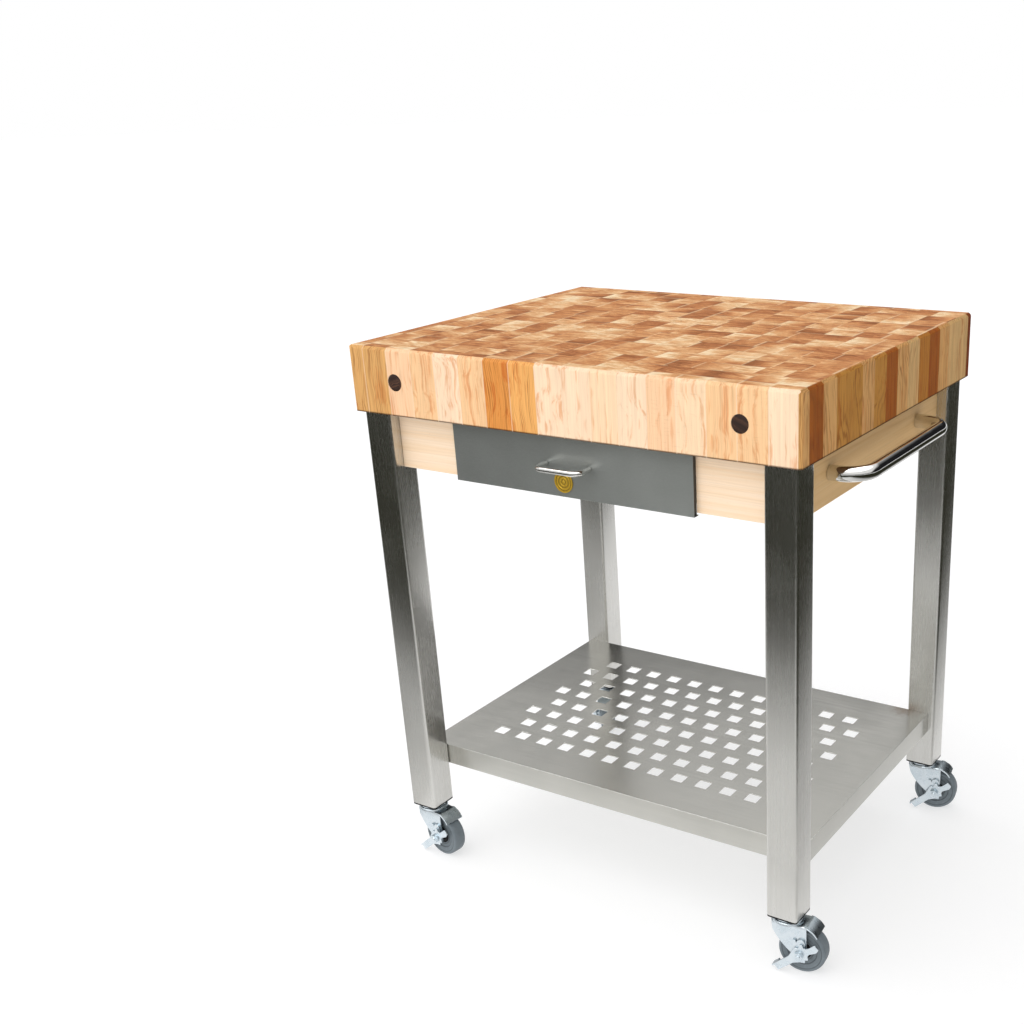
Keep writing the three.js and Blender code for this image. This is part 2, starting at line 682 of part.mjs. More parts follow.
// Each caster turns about its stem: its pieces are drawn trailing along +X.
function addCaster(cart, corner) {
  const swivel = new THREE.Group();
  swivel.position.set(corner.x * legCentre.x, corner.y * legCentre.y, 0);
  swivel.rotation.z = THREE.MathUtils.degToRad(casterTrail[corner.name]);
  cart.add(swivel);
  place(swivel, `caster_stem_${corner.name}`, casterStem(), materials.zinc);
  place(swivel, `caster_fork_${corner.name}`, casterFork(), materials.zinc);
  place(swivel, `caster_axle_${corner.name}`, casterAxle(), materials.zinc);
  place(swivel, `caster_brake_${corner.name}`, casterBrake(), materials.zinc);
  const tyre = place(swivel, `wheel_tyre_${corner.name}`, casterTyre(), materials.rubber);
  const core = place(swivel, `wheel_core_${corner.name}`, casterCore(), materials.darkPlastic);
  for (const piece of [tyre, core]) piece.position.set(caster.trail, 0, wheel.radius);
}

// ---------------------------------------------------------------- the cart

const cart = new THREE.Group();
addBlock(cart);
addAprons(cart);
addShelf(cart);
addTowelBar(cart);
addDrawerFront(cart);
addDrawerBox(cart);
addPull(cart);
addBadge(cart);
addRunners(cart);
for (const corner of corners) {
  addLeg(cart, corner);
  addSocket(cart, corner);
  addCaster(cart, corner);
}

// Stand the middle of the footprint on the origin.
const footprint = new THREE.Box3().setFromObject(cart, true).getCenter(new THREE.Vector3());
cart.position.set(-footprint.x, -footprint.y, 0);

const part = new THREE.Group();
part.add(cart);
export default part;
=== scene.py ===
"""The looks of a rolling kitchen island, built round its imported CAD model.

Lengths in this file are millimetres unless a name says otherwise; MM turns them into Blender's metres.
The front of the cart faces -Y, the towel bar is on the +X side, and the floor is z = 0.
"""
import json
import math
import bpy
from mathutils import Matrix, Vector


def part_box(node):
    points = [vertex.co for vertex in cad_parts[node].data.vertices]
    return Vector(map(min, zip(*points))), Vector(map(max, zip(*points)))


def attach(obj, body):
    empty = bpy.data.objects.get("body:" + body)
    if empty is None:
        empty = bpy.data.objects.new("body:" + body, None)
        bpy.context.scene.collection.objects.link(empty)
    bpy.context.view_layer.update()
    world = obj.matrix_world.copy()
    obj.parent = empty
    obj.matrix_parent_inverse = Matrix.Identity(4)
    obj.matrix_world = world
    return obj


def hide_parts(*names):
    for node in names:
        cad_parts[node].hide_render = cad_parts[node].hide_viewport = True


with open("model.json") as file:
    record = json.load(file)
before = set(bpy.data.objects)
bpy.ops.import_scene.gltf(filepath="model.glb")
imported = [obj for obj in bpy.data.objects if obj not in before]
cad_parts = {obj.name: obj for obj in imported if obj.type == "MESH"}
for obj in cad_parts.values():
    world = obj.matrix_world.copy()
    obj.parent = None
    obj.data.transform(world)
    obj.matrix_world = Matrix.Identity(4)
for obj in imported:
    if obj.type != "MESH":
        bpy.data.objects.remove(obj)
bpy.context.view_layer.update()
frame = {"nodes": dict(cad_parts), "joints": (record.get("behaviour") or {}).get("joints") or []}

from types import SimpleNamespace

import bmesh
import bpy
from mathutils import Matrix, Vector

MM = 0.001

# -------- sizes that the frame doesn't state

LEG_SIDE = 50
LEG_WALL = 2
LEG_CORNER = 5.5  # the outer radius of a tube's corner
SHEET = 1.6
THIN_SHEET = 1.5
SHELF_CELL = 22.6  # the side of a hole, and of the metal between two holes
SHELF_COLUMNS = 25  # holes and bars along the longest row
SHELF_ROWS = 15
BAR_RADIUS = 11
BAR_BEND = 38
PULL_RADIUS = 4.1
PULL_BEND = 14
STAVE_WIDTH = 45.7  # end-grain blocks along X
STAVE_DEPTH = 40.7  # end-grain blocks along Y
FIRST_STAVE = (30, 22)  # the block at the front left corner is cut down to this

# Which way each corner lies from the middle, in X and Y.
CORNERS = {
    "front_left": (-1, -1),
    "front_right": (1, -1),
    "back_right": (1, 1),
    "back_left": (-1, 1),
}


def box_mm(node):
    """A CAD node's lowest and highest corners in millimetres."""
    low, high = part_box(node)
    return low / MM, high / MM


# -------- node trees


def linear(hex_colour):
    """A Blender colour from an sRGB hex code."""
    parts = [int(hex_colour[i : i + 2], 16) / 255 for i in (0, 2, 4)]
    return [p / 12.92 if p <= 0.04045 else ((p + 0.055) / 1.055) ** 2.4 for p in parts] + [1.0]


class Wire:
    """A number that flows through a node tree, with ordinary arithmetic."""

    def __init__(self, graph, socket):
        self.graph = graph
        self.socket = socket

    def __add__(self, other):
        return self.graph.math("ADD", self, other)

    def __sub__(self, other):
        return self.graph.math("SUBTRACT", self, other)

    def __mul__(self, other):
        return self.graph.math("MULTIPLY", self, other)

    def __truediv__(self, other):
        return self.graph.math("DIVIDE", self, other)

    def floor(self):
        return self.graph.math("FLOOR", self)

    def power(self, exponent):
        return self.graph.math("POWER", self, exponent)

    def between(self, low, high):
        """0 below low, 1 above high, smooth between them."""
        return self.graph.map_range(self, low, high)

    def below(self, low, high):
        """1 below low, 0 above high, smooth between them."""
        return self.between(low, high) * -1 + 1


class Graph:
    """A node tree made by short calls. Wires, numbers and colours can feed any socket."""

    def __init__(self, tree):
        self.tree = tree
        self.tree.nodes.clear()

    def add(self, kind, *values, **settings):
        """A new node. The values feed its first sockets, and the settings are its properties."""
        node = self.tree.nodes.new(kind)
        for key, value in settings.items():
            setattr(node, key, value)
        for socket, value in zip(node.inputs, values):
            self.feed(socket, value)
        return node

    def feed(self, socket, value):
        if isinstance(value, Wire):
            value = value.socket
        if isinstance(value, bpy.types.NodeSocket):
            self.tree.links.new(value, socket)
        else:
            socket.default_value = value

    def math(self, operation, *values):
        return Wire(self, self.add("ShaderNodeMath", *values, operation=operation).outputs[0])

    def map_range(self, value, low, high, out_low=0.0, out_high=1.0):
        given = (value, low, high, out_low, out_high)
        return Wire(self, self.add("ShaderNodeMapRange", *given, interpolation_type="SMOOTHSTEP").outputs[0])

    def clamp(self, value, low, high):
        return self.math("MINIMUM", self.math("MAXIMUM", value, low), high)

    def vector(self, x=0.0, y=0.0, z=0.0):
        return self.add("ShaderNodeCombineXYZ", x, y, z).outputs[0]

    def split(self, socket):
        return [Wire(self, out) for out in self.add("ShaderNodeSeparateXYZ", socket).outputs]

    def place(self, origin=(0, 0, 0)):
        """X, Y and Z in millimetres from an origin in the row frame."""
        coordinates = self.add("ShaderNodeTexCoord").outputs["Object"]
        return [axis / MM - start for axis, start in zip(self.split(coordinates), origin)]

    def facing(self):
        """The three parts of the surface's own direction."""
        return self.split(self.add("ShaderNodeTexCoord").outputs["Normal"])

    def noise(self, where, detail=2.0, roughness=0.5):
        """Soft noise with patches about one unit across."""
        node = self.add("ShaderNodeTexNoise", where, noise_dimensions="3D")
        self.feed(node.inputs["Scale"], 1.0)
        self.feed(node.inputs["Detail"], detail)
        self.feed(node.inputs["Roughness"], roughness)
        return Wire(self, node.outputs[0])

    def patches(self, place, size, detail=2.0, roughness=0.5):
        """Noise over a place in millimetres. Its patches have one size, or a size along each axis."""
        sizes = size if isinstance(size, (list, tuple)) else [size] * len(place)
        return self.noise(self.vector(*[axis / part for axis, part in zip(place, sizes)]), detail, roughness)

    def random(self, where):
        """One random number, and three more as a colour, for a place."""
        node = self.add("ShaderNodeTexWhiteNoise", where, noise_dimensions="3D")
        return Wire(self, node.outputs["Value"]), self.split(node.outputs["Color"])

    def ramp(self, value, colours, steps=False):
        """Colours spread evenly from 0 to 1, blended or in steps."""
        node = self.add("ShaderNodeValToRGB", value)
        node.color_ramp.interpolation = "CONSTANT" if steps else "LINEAR"
        elements = node.color_ramp.elements
        spread = len(colours) if steps else len(colours) - 1
        while len(elements) < len(colours):
            elements.new(1.0)
        for index, colour in enumerate(colours):
            elements[index].position = index / spread
        for element, colour in zip(elements, colours):
            element.color = linear(colour)
        return node.outputs[0]

    def mix(self, factor, first, second, blend="MIX"):
        node = self.add("ShaderNodeMix", data_type="RGBA", blend_type=blend)
        node.clamp_factor = True
        self.feed(node.inputs["Factor"], factor)
        for socket, value in zip([s for s in node.inputs if s.type == "RGBA"], (first, second)):
            self.feed(socket, linear(value) if isinstance(value, str) else value)
        return [s for s in node.outputs if s.type == "RGBA"][0]

    def shade(self, colour, amount):
        """A colour made lighter or darker by a wire that is 1 where nothing changes."""
        return self.mix(1.0, colour, self.vector(amount, amount, amount), "MULTIPLY")

    def bump(self, height, distance):
        """Relief: a wire from 0 to 1 that raises the surface by up to distance."""
        node = self.add("ShaderNodeBump")
        node.inputs["Distance"].default_value = distance * MM
        self.feed(node.inputs["Height"], height)
        self.feed(self.shader.inputs["Normal"], node.outputs[0])

    def set(self, **sockets):
        for name, value in sockets.items():
            self.feed(self.shader.inputs[name.replace("_", " ").title().replace("Ior", "IOR")], value)
        return self.material


def surface(name):
    """A graph for a new material, with its shader in place."""
    material = bpy.data.materials.new(name)
    material.use_nodes = True
    g = Graph(material.node_tree)
    g.material = material
    g.shader = g.add("ShaderNodeBsdfPrincipled")
    g.add("ShaderNodeOutputMaterial", g.shader.outputs[0])
    return g


# -------- wood


def growth_rings(g, across, up, along, seeds, pitch, spread=math.pi):
    """Thin dark lines round the middle of a tree that lies off the piece and wanders along its length.

    The middle lies within an angle of spread to either side of straight up.
    """
    angle = (seeds[0] - 0.5) * (2 * spread) + math.pi / 2
    reach = seeds[1] * 160 + 60
    wander = g.noise(g.vector(along / 150, seeds[2] * 40, seeds[0] * 30), detail=1.0) * 22
    ripple = g.patches((across, up, along), (13, 13, 60)) * 7
    from_x = across - g.math("COSINE", angle) * reach - wander
    from_y = up - g.math("SINE", angle) * reach
    distance = g.math("SQRT", from_x * from_x + from_y * from_y) + ripple
    uneven = distance + g.noise(g.vector(distance / 9, seeds[2] * 60, 0.0)) * 9
    wave = g.math("SINE", uneven * (2 * math.pi / pitch)) * 0.5 + 0.5
    strength = g.noise(g.vector(distance / 6, seeds[1] * 60, along / 90), detail=1.0)
    return wave.power(2.2) * strength.between(0.3, 0.75)


TONES = {
    "cream": "f3d4b3",
    "pale": "f2d0aa",
    "peach": "f0c59c",
    "honey": "eec292",
    "gold": "e8aa62",
    "wheat": "d5ad73",
    "tan": "d5a263",
    "amber": "db9147",
    "ochre": "c0873b",
    "orange": "b8782e",
    "brown": "a65c1c",
    "red": "7c3a14",
}
FRONT_STAVES = (
    "tan tan peach honey cream honey amber gold cream cream pale cream peach pale honey honey cream"
).split()
# The right-hand face's staves: their own tones, each set darker as painted shade on that side.
RIGHT_STAVES_WITH_PAINTED_SHADE = (
    "tan brown tan ochre ochre tan ochre brown tan wheat orange brown tan wheat wheat red"
).split()
OTHER_STAVES = "pale cream honey peach tan pale amber cream honey peach".split()
TOP_TONES = ("855028", "a3653a", "bf804d", "d49c68", "e8be8d", "f6dcb4")


def stave_tones(g, share, names):
    """The named tones in equal steps, as share goes from 0 to 1."""
    return g.ramp(share, [TONES[name] for name in names], steps=True)


def block_layout(g, x, y):
    """Where a place lies among the glued blocks, and its own block's random numbers."""
    rows_back = (y - FIRST_STAVE[1]) / STAVE_DEPTH
    row = g.clamp(rows_back.floor() + 1, 0, len(RIGHT_STAVES_WITH_PAINTED_SHADE) - 1)
    # Behind the front row, each row sits a little to one side of the next.
    row_seed, _ = g.random(g.vector(row, 3.0, 9.0))
    slip = (row_seed - 0.5) * g.math("GREATER_THAN", row, 0.5) * 24
    columns_along = (x - FIRST_STAVE[0] - slip) / STAVE_WIDTH
    column = g.clamp(columns_along.floor() + 1, 0, len(FRONT_STAVES) - 1)
    tone, seeds = g.random(g.vector(column, row, 5.0))
    return SimpleNamespace(
        row=row,
        column=column,
        tone=tone,
        seeds=seeds,
        more=g.random(g.vector(column, row, 8.0))[1],
        middle_x=columns_along - columns_along.floor() - 0.5,
        middle_y=rows_back - rows_back.floor() - 0.5,
        near_column=g.math("PINGPONG", columns_along, 0.5) * STAVE_WIDTH,
        near_row=g.math("PINGPONG", rows_back, 0.5) * STAVE_DEPTH,
    )


def side_grain(g, block, place, width, rings, fibre, cloud):
    """The sides: each stave has its own tone, with amber streaks and painted shade along the lower edge."""
    x, y, z = place
    seeds = block.seeds
    nx = g.facing()[0]
    right = g.math("GREATER_THAN", x, width - STAVE_WIDTH / 2) * nx.between(0.3, 0.5)
    front = g.math("LESS_THAN", y, FIRST_STAVE[1] / 2) * nx.below(0.3, 0.5)
    side = stave_tones(g, block.tone, OTHER_STAVES)
    # The right-hand face's darker tones are partly painted shade.
    side = g.mix(right, side, stave_tones(g, (block.row + 0.5) / len(RIGHT_STAVES_WITH_PAINTED_SHADE), RIGHT_STAVES_WITH_PAINTED_SHADE))
    side = g.mix(front, side, stave_tones(g, (block.column + 0.5) / len(FRONT_STAVES), FRONT_STAVES))
    depth = g.split(side)[1].below(0.28, 0.62)
    streak = g.noise(g.vector(x / 4 + seeds[0] * 30, y / 4, z / 260))
    figure = g.patches(place, (15, 15, 2.2)).between(0.56, 0.72)
    dark = rings * (depth * 0.3 + 0.07) + figure * seeds[1].between(0.5, 0.8) * 0.07
    light = (fibre - 0.5) * 0.14 + (streak - 0.5) * 0.34 + (cloud - 0.5) * 0.2 + 1.0 - dark
    side = g.shade(side, light)
    side = g.mix(rings * depth * 0.45, side, "a35c24")
    bend = g.noise(g.vector(z / 60, seeds[2] * 50, block.row + block.column), detail=1.0) * 26
    amber = g.noise(g.vector((x + bend) / 7, (y + bend) / 7, z / 190), detail=3.0, roughness=0.6)
    side = g.mix(amber.between(0.5, 0.7) * 0.55, side, "dc9a58", "MULTIPLY")
    # Painted shade along the lowest few millimetres of the block's sides.
    painted_lower_edge_shade = (z + fibre * 1.5).below(1.6, 3.8)
    side = g.mix(painted_lower_edge_shade * 0.85, side, "38200f")
    return g.mix(block.near_column.below(0.2, 1.3) * front * 0.45, side, "f6e0c2")


def top_grain(g, block, place, cloud):
    """The top: each block shades from heartwood to pale sapwood in its own direction."""
    x, y, z = place
    seeds, more = block.seeds, block.more
    turn = seeds[0] * (2 * math.pi)
    outward = block.middle_x * g.math("COSINE", turn) + block.middle_y * g.math("SINE", turn)
    lean = 0.55
    turned = y + (seeds[2] - 0.5) * x * lean
    drift = g.noise(g.vector(x / 26 + seeds[0] * 9, turned / 7 + seeds[1] * 9), detail=3.0, roughness=0.6)
    pores = g.patches((x, y), 0.9, roughness=0.7)
    ripple = g.noise(g.vector(x / 5, turned / 2.2, seeds[1] * 9))
    heart = more[1] * 0.6 + outward * seeds[1] * 0.7 + (drift - 0.5) * 1.3 + (ripple - 0.5) * 0.4 + 0.2
    top = g.ramp(heart, TOP_TONES)
    rings = growth_rings(g, x, y, z, more, pitch=2.1, spread=lean)
    top = g.shade(top, (cloud - 0.5) * 0.3 + (pores - 0.5) * 0.14 + 1.03 - rings * 0.2)
    sapwood = block.near_column.below(0.3, 3.2) * more[2].between(0.35, 0.75)
    sapwood_row = block.near_row.below(0.3, 2.4) * seeds[1].between(0.5, 0.9)
    return g.mix(g.math("MAXIMUM", sapwood * 0.6, sapwood_row * 0.5), top, "f2d8b0")


def end_grain():
    """Blocks set on end: rings on top, straight grain on the sides, and thin glue lines between them."""
    low, high = box_mm("butcher_block")
    g = surface("maple_end_grain")
    place = g.place(low)
    x, y, z = place
    block = block_layout(g, x, y)
    rings = growth_rings(g, x, y, z * 1.2, block.seeds, pitch=3.1)
    fibre = g.patches(place, (0.9, 0.9, 70), detail=3.0, roughness=0.62)
    cloud = g.noise(g.vector(x / 22, y / 22, z / 70 + block.more[0] * 20))
    side = side_grain(g, block, place, high.x - low.x, rings, fibre, cloud)
    top = top_grain(g, block, place, cloud)
    colour = g.mix(g.facing()[2].between(0.78, 0.96), side, top)
    glue = g.math("MINIMUM", block.near_column, block.near_row).below(0.0, 0.45)
    colour = g.mix(glue * 0.22, colour, "8f5a30")
    g.bump(fibre * 0.6 + rings * -0.4, 0.08)
    return g.set(base_color=colour, roughness=fibre * 0.14 + 0.42, specular_ior_level=0.12)


def board_wood(name, length_axis, tones, pitch):
    """A plain sawn board: straight grain with a slow figure along its length."""
    g = surface(name)
    places = g.place()
    along = places[length_axis]
    across = places[1 - length_axis]
    up = places[2]
    board = (across, up, along)
    _, seeds = g.random(g.vector((across / 90).floor(), 2.0, float(length_axis)))
    rings = growth_rings(g, across * 2.2, up, along / 3, seeds, pitch)
    fibre = g.patches(board, (0.9, 0.9, 42), detail=3.0, roughness=0.6)
    streak = g.patches(board, (12, 7, 260))
    fleck = g.patches(board, (1.2, 1.2, 7), detail=1.0)
    colour = g.ramp(streak, tones)
    colour = g.shade(colour, (fibre - 0.5) * 0.12 + 1.0 - rings * 0.08)
    colour = g.mix(fleck.between(0.66, 0.78) * 0.25, colour, tones[-1])
    g.bump(fibre * 0.6 - rings * 0.4, 0.08)
    return g.set(base_color=colour, roughness=fibre * 0.16 + 0.42, specular_ior_level=0.35)


def walnut():
    """The plugs: dark end grain with rings and open pores."""
    g = surface("walnut_plug")
    x, y, z = g.place()
    _, seeds = g.random(g.vector((x / 300).floor(), (y / 300).floor(), 4.0))
    rings = growth_rings(g, x, z, y, seeds, pitch=1.6)
    pores = g.patches((x, z, y), (0.5, 0.5, 9), roughness=0.7)
    colour = g.ramp(rings, ("2c1a12", "4a2d1e", "6a4630", "3b2418"))
    colour = g.mix(pores.between(0.6, 0.7) * 0.6, colour, "1d110c")
    g.bump(pores, 0.08)
    return g.set(base_color=colour, roughness=pores * 0.2 + 0.38)


# -------- metal, rubber and plastic


def smudges(g, place):
    """Slow patches, such as handling leaves on bare steel."""
    return g.patches(place, 90, detail=3.0, roughness=0.55)


def brushed_steel(name, tones, brush_axis, roughness, marks=None):
    """Stainless steel with fine scratches along one axis. marks(graph, colour) may change its colour, with
    painted highlights as well as real marks.
    """
    g = surface(name)
    place = g.place()
    fine = [0.45] * 3
    coarse = [3.5] * 3
    fine[brush_axis] = 60
    coarse[brush_axis] = 320
    scratch = g.patches(place, fine, detail=3.0, roughness=0.7)
    band = g.patches(place, coarse)
    patch = smudges(g, place)
    colour = g.ramp(band * 0.5 + patch * 0.5, tones)
    colour = g.shade(colour, scratch * 0.07 + (patch - 0.5) * 0.12 + 0.965)
    if marks:
        colour = marks(g, colour)
    rough = scratch * 0.08 + band * 0.05 + patch * 0.1 + (roughness - 0.11)
    g.bump(scratch, 0.012)
    tangent = g.add("ShaderNodeTangent", direction_type="RADIAL", axis="Z")
    g.feed(g.shader.inputs["Tangent"], tangent.outputs[0])
    return g.set(base_color=colour, roughness=rough, metallic=1.0, anisotropic=0.5)


def shelf_highlight_and_stain(g, colour):
    """Folds painted bright as a highlight, and a brown stain where the back right leg was welded on."""
    nz = g.facing()[2]
    # Painted highlight: the bends of the folds are made nearly white.
    fold = nz.between(0.35, 0.6) * nz.below(0.86, 0.97)
    colour = g.mix(fold * 0.9, colour, "f6f6f4")
    _, high = box_mm("leg_back_right")
    x, y, _ = g.place((high.x - LEG_SIDE, high.y - LEG_SIDE, 0))
    ragged = g.math("SQRT", x * x + y * y) + g.patches((x, y), 12, detail=3.0) * 26
    return g.mix(ragged.below(14.0, 52.0) * 0.55, colour, "7d5c3c")


def sheet_steel():
    """The drawer's satin sheet: grey with a little green, a fine grain along X, and painted light that makes
    it lighter to the right.
    """
    g = surface("satin_sheet_steel")
    low, high = box_mm("drawer_front")
    place = g.place()
    x, y, _ = place
    grain = g.patches(place, (5, 0.6, 0.6), detail=3.0, roughness=0.65)
    mottle = g.patches(place, 2.4, roughness=0.6)
    patch = smudges(g, place)
    colour = g.ramp(patch * 0.7 + grain * 0.3, ("8d908b", "9a9d99", "a7aaa6"))
    # Painted light: the sheet grows lighter towards its right-hand end.
    painted_light_to_right = g.map_range(x, low.x, high.x, -0.14, 0.2)
    colour = g.shade(colour, grain * 0.14 + mottle * 0.1 + painted_light_to_right + 0.88)
    # Painted shade: the folded sides of the front are darkened.
    fold = g.math("ABSOLUTE", g.facing()[0]).between(0.5, 0.9) * g.math("LESS_THAN", y, low.y + 9)
    colour = g.mix(fold * 0.9, colour, "0c0c0b")
    g.bump(mottle * 0.5 + grain * 0.5, 0.02)
    return g.set(
        base_color=colour, roughness=patch * 0.12 + grain * 0.08 + 0.22, metallic=0.58, anisotropic=0.3
    )


def polished_steel():
    """Bright tube, with very faint drawing marks and fingerprints."""
    g = surface("polished_steel")
    place = g.place()
    mark = g.patches(place, 0.8)
    patch = g.patches(place, 22, detail=3.0, roughness=0.6)
    colour = g.ramp(patch, ("c9c8c5", "dad9d6", "e2e1de"))
    rough = patch.between(0.45, 0.8) * 0.08 + mark * 0.03 + 0.06
    g.bump(mark, 0.004)
    return g.set(base_color=colour, roughness=rough, metallic=1.0)


def find_joint(name):
    return next(joint for joint in frame["joints"] if joint["name"] == name)


def zinc(name="bright_zinc", axle=None):
    """Bright zinc plate: bluish, with faint crystals. Faces that don't look along the axle are darkened with
    painted shade.
    """
    g = surface(name)
    place = g.place()
    grain = g.patches(place, 0.8, roughness=0.65)
    patch = g.patches(place, 14)
    colour = g.ramp(patch * 0.8 + grain * 0.2, ("b4c2cc", "cdd8df", "dde5ea", "ccd4d6"))
    if axle:
        nx, ny, _ = g.facing()
        # Painted shade on every face that doesn't look along the axle.
        painted_side_shade = g.math("ABSOLUTE", nx * axle[0] + ny * axle[1]).below(0.2, 0.75)
        colour = g.mix(painted_side_shade * 0.55, colour, "55646b")
    g.bump(grain, 0.006)
    return g.set(base_color=colour, roughness=patch * 0.16 + grain * 0.04 + 0.18, metallic=0.97)


def tyre_rubber(corner):
    """Grey non-marking rubber: dusty, with painted shade as a dark line in each moulded step round the axle.
    """
    g = surface(f"grey_rubber_{corner}")
    place = g.place([value / MM for value in find_joint(f"roll_{corner}")["pos_m"]])
    x, y, z = place
    fine = g.patches(place, 0.9, detail=3.0, roughness=0.7)
    dust = g.patches(place, 9, detail=3.0, roughness=0.6)
    colour = g.ramp(dust * 0.7 + fine * 0.3, ("5f676c", "727b80", "889195"))
    from_axle = g.math("SQRT", x * x + y * y + z * z)
    swirl = g.noise(g.vector(from_axle / 1.6, dust * 3.0))
    colour = g.shade(colour, swirl * 0.3 + 0.85)
    # Painted shade: a dark line in each moulded step.
    for step_radius in (19.5, 25.6, 33.4):
        painted_step_shade = g.math("ABSOLUTE", from_axle - step_radius).below(0.3, 1.3)
        colour = g.mix(painted_step_shade * 0.5, colour, "33383b")
    g.bump(fine, 0.05)
    return g.set(base_color=colour, roughness=dust * 0.2 + 0.5, specular_ior_level=0.35)


def dark_plastic():
    """Black moulded nylon with a fine spark-eroded texture."""
    g = surface("black_nylon")
    place = g.place()
    grain = g.patches(place, 0.5)
    patch = g.patches(place, 8)
    colour = g.ramp(patch, ("0a0a0b", "101011", "19191a"))
    g.bump(grain, 0.04)
    return g.set(base_color=colour, roughness=grain * 0.15 + 0.45, specular_ior_level=0.2)


def brass():
    """Stamped brass: bright on its ridges, brown in its hollows."""
    low, _ = box_mm("drawer_badge")
    g = surface("stamped_brass")
    place = g.place((0, low.y, 0))
    grain = g.patches(place, 0.7, detail=3.0, roughness=0.7)
    hollow = (place[1] + grain * 0.3).between(0.45, 0.95)
    colour = g.ramp(grain, ("c49c2a", "dcb43a", "ecc850"))
    colour = g.mix(hollow * 0.55, colour, "5d4514")
    g.bump(grain, 0.03)
    return g.set(base_color=colour, roughness=grain * 0.2 + hollow * 0.2 + 0.25, metallic=0.6)


# -------- mesh helpers


def add_object(name, data):
    """An object in the scene, for a mesh, a lamp or a camera."""
    thing = bpy.data.objects.new(name, data)
    bpy.context.scene.collection.objects.link(thing)
    return thing


def finish_piece(bm, name, material, body, slot, replaces=(), matrix=None, bevel=0, smooth=32):
    """Makes a piece from a mesh in millimetres, puts it on its body and hides the CAD nodes that it replaces.
    """
    bmesh.ops.remove_doubles(bm, verts=bm.verts, dist=0.0005)
    bmesh.ops.recalc_face_normals(bm, faces=bm.faces)
    bm.transform(Matrix.Scale(MM, 4))
    if matrix is not None:
        bm.transform(matrix)
    mesh = bpy.data.meshes.new(name)
    bm.to_mesh(mesh)
    bm.free()
    for polygon in mesh.polygons:
        polygon.use_smooth = True
    mesh.set_sharp_from_angle(angle=math.radians(smooth))
    mesh.materials.append(material)
    piece = add_object(name, mesh)
    if bevel:
        soften(piece, bevel)
    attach(piece, body)
    if replaces:
        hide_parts(*replaces)


def soften(piece, width):
    """Rounds a piece's sharp edges."""
    bevel = piece.modifiers.new("edges", "BEVEL")
    bevel.width = width * MM
    bevel.segments = 2
    bevel.limit_method = "ANGLE"
    bevel.angle_limit = math.radians(38)


def keep_nodes(prefixes, material, bevel):
    """CAD nodes that stay, by the starts of their names: their material, and their sharp edges rounded."""
    for node, piece in frame["nodes"].items():
        if node.startswith(prefixes):
            piece.data.materials.clear()
            piece.data.materials.append(material)
            weld = piece.modifiers.new("weld", "WELD")
            weld.merge_threshold = 0.01 * MM
            soften(piece, bevel)


def arc(centre, radius, start, end, steps):
    """Points of an arc in a plane, from one angle to another in degrees."""
    turns = [math.radians(start + (end - start) * i / steps) for i in range(steps + 1)]
    return [(centre[0] + radius * math.cos(t), centre[1] + radius * math.sin(t)) for t in turns]


def rounded(corners, radius, steps=5):
    """A closed outline with each corner rounded. A radius may be given for each corner."""
    radii = radius if isinstance(radius, (list, tuple)) else [radius] * len(corners)
    outline = []
    for index, corner in enumerate(corners):
        here = Vector(corner)
        before = (Vector(corners[index - 1]) - here).normalized()
        after = (Vector(corners[(index + 1) % len(corners)]) - here).normalized()
        half = before.angle(after) / 2
        r = radii[index]
        if r <= 0 or half > math.radians(88):
            outline.append(tuple(here))
            continue
        cut = r / math.tan(half)
        start = here + before * cut
        end = here + after * cut
        for step in range(steps + 1):
            t = step / steps
            outline.append(tuple(start * (1 - t) ** 2 + here * (2 * t * (1 - t)) + end * t**2))
    return outline


def rectangle(low_a, low_b, high_a, high_b):
    """A rectangle's corners, in order round it."""
    return [(low_a, low_b), (high_a, low_b), (high_a, high_b), (low_a, high_b)]


def rounded_square(centre, side, radius):
    half = side / 2
    signs = ((1, -1), (1, 1), (-1, 1), (-1, -1))
    return rounded([(centre[0] + a * half, centre[1] + b * half) for a, b in signs], radius, 6)


def bridge(bm, first, second):
    """Joins two closed rings by a band of faces. A ring may be a single point."""
    for i in range(max(len(first), len(second))):
        pairs = ((first, i), (first, i + 1), (second, i + 1), (second, i))
        corners = list(dict.fromkeys(ring[at % len(ring)] for ring, at in pairs))
        if len(corners) > 2:
            bm.faces.new(corners)


def add_plate(bm, outline, low, high, toward):
    """A closed plate: a plane outline given thickness. toward(a, b, c) puts its points in space."""
    lower = [bm.verts.new(toward(a, b, low)) for a, b in outline]
    upper = [bm.verts.new(toward(a, b, high)) for a, b in outline]
    bm.faces.new(lower[::-1])
    bm.faces.new(upper)
    bridge(bm, lower, upper)


def in_xz(a, b, c):
    return (a, c, b)


def in_xy(a, b, c):
    return (a, b, c)


def add_turned(bm, profile, sides, toward=in_xy):
    """A closed solid of revolution. A profile of (radius, height) starts and ends on its axis or loops."""
    turns = [2 * math.pi * i / sides for i in range(sides)]
    rings = []
    for radius, height in profile:
        circle = [(radius * math.cos(t), radius * math.sin(t)) for t in (turns if radius else [0])]
        rings.append([bm.verts.new(toward(a, b, height)) for a, b in circle])
    for first, second in zip(rings, rings[1:]):
        bridge(bm, first, second)
    if profile[0][0] > 0:
        bridge(bm, rings[-1], rings[0])


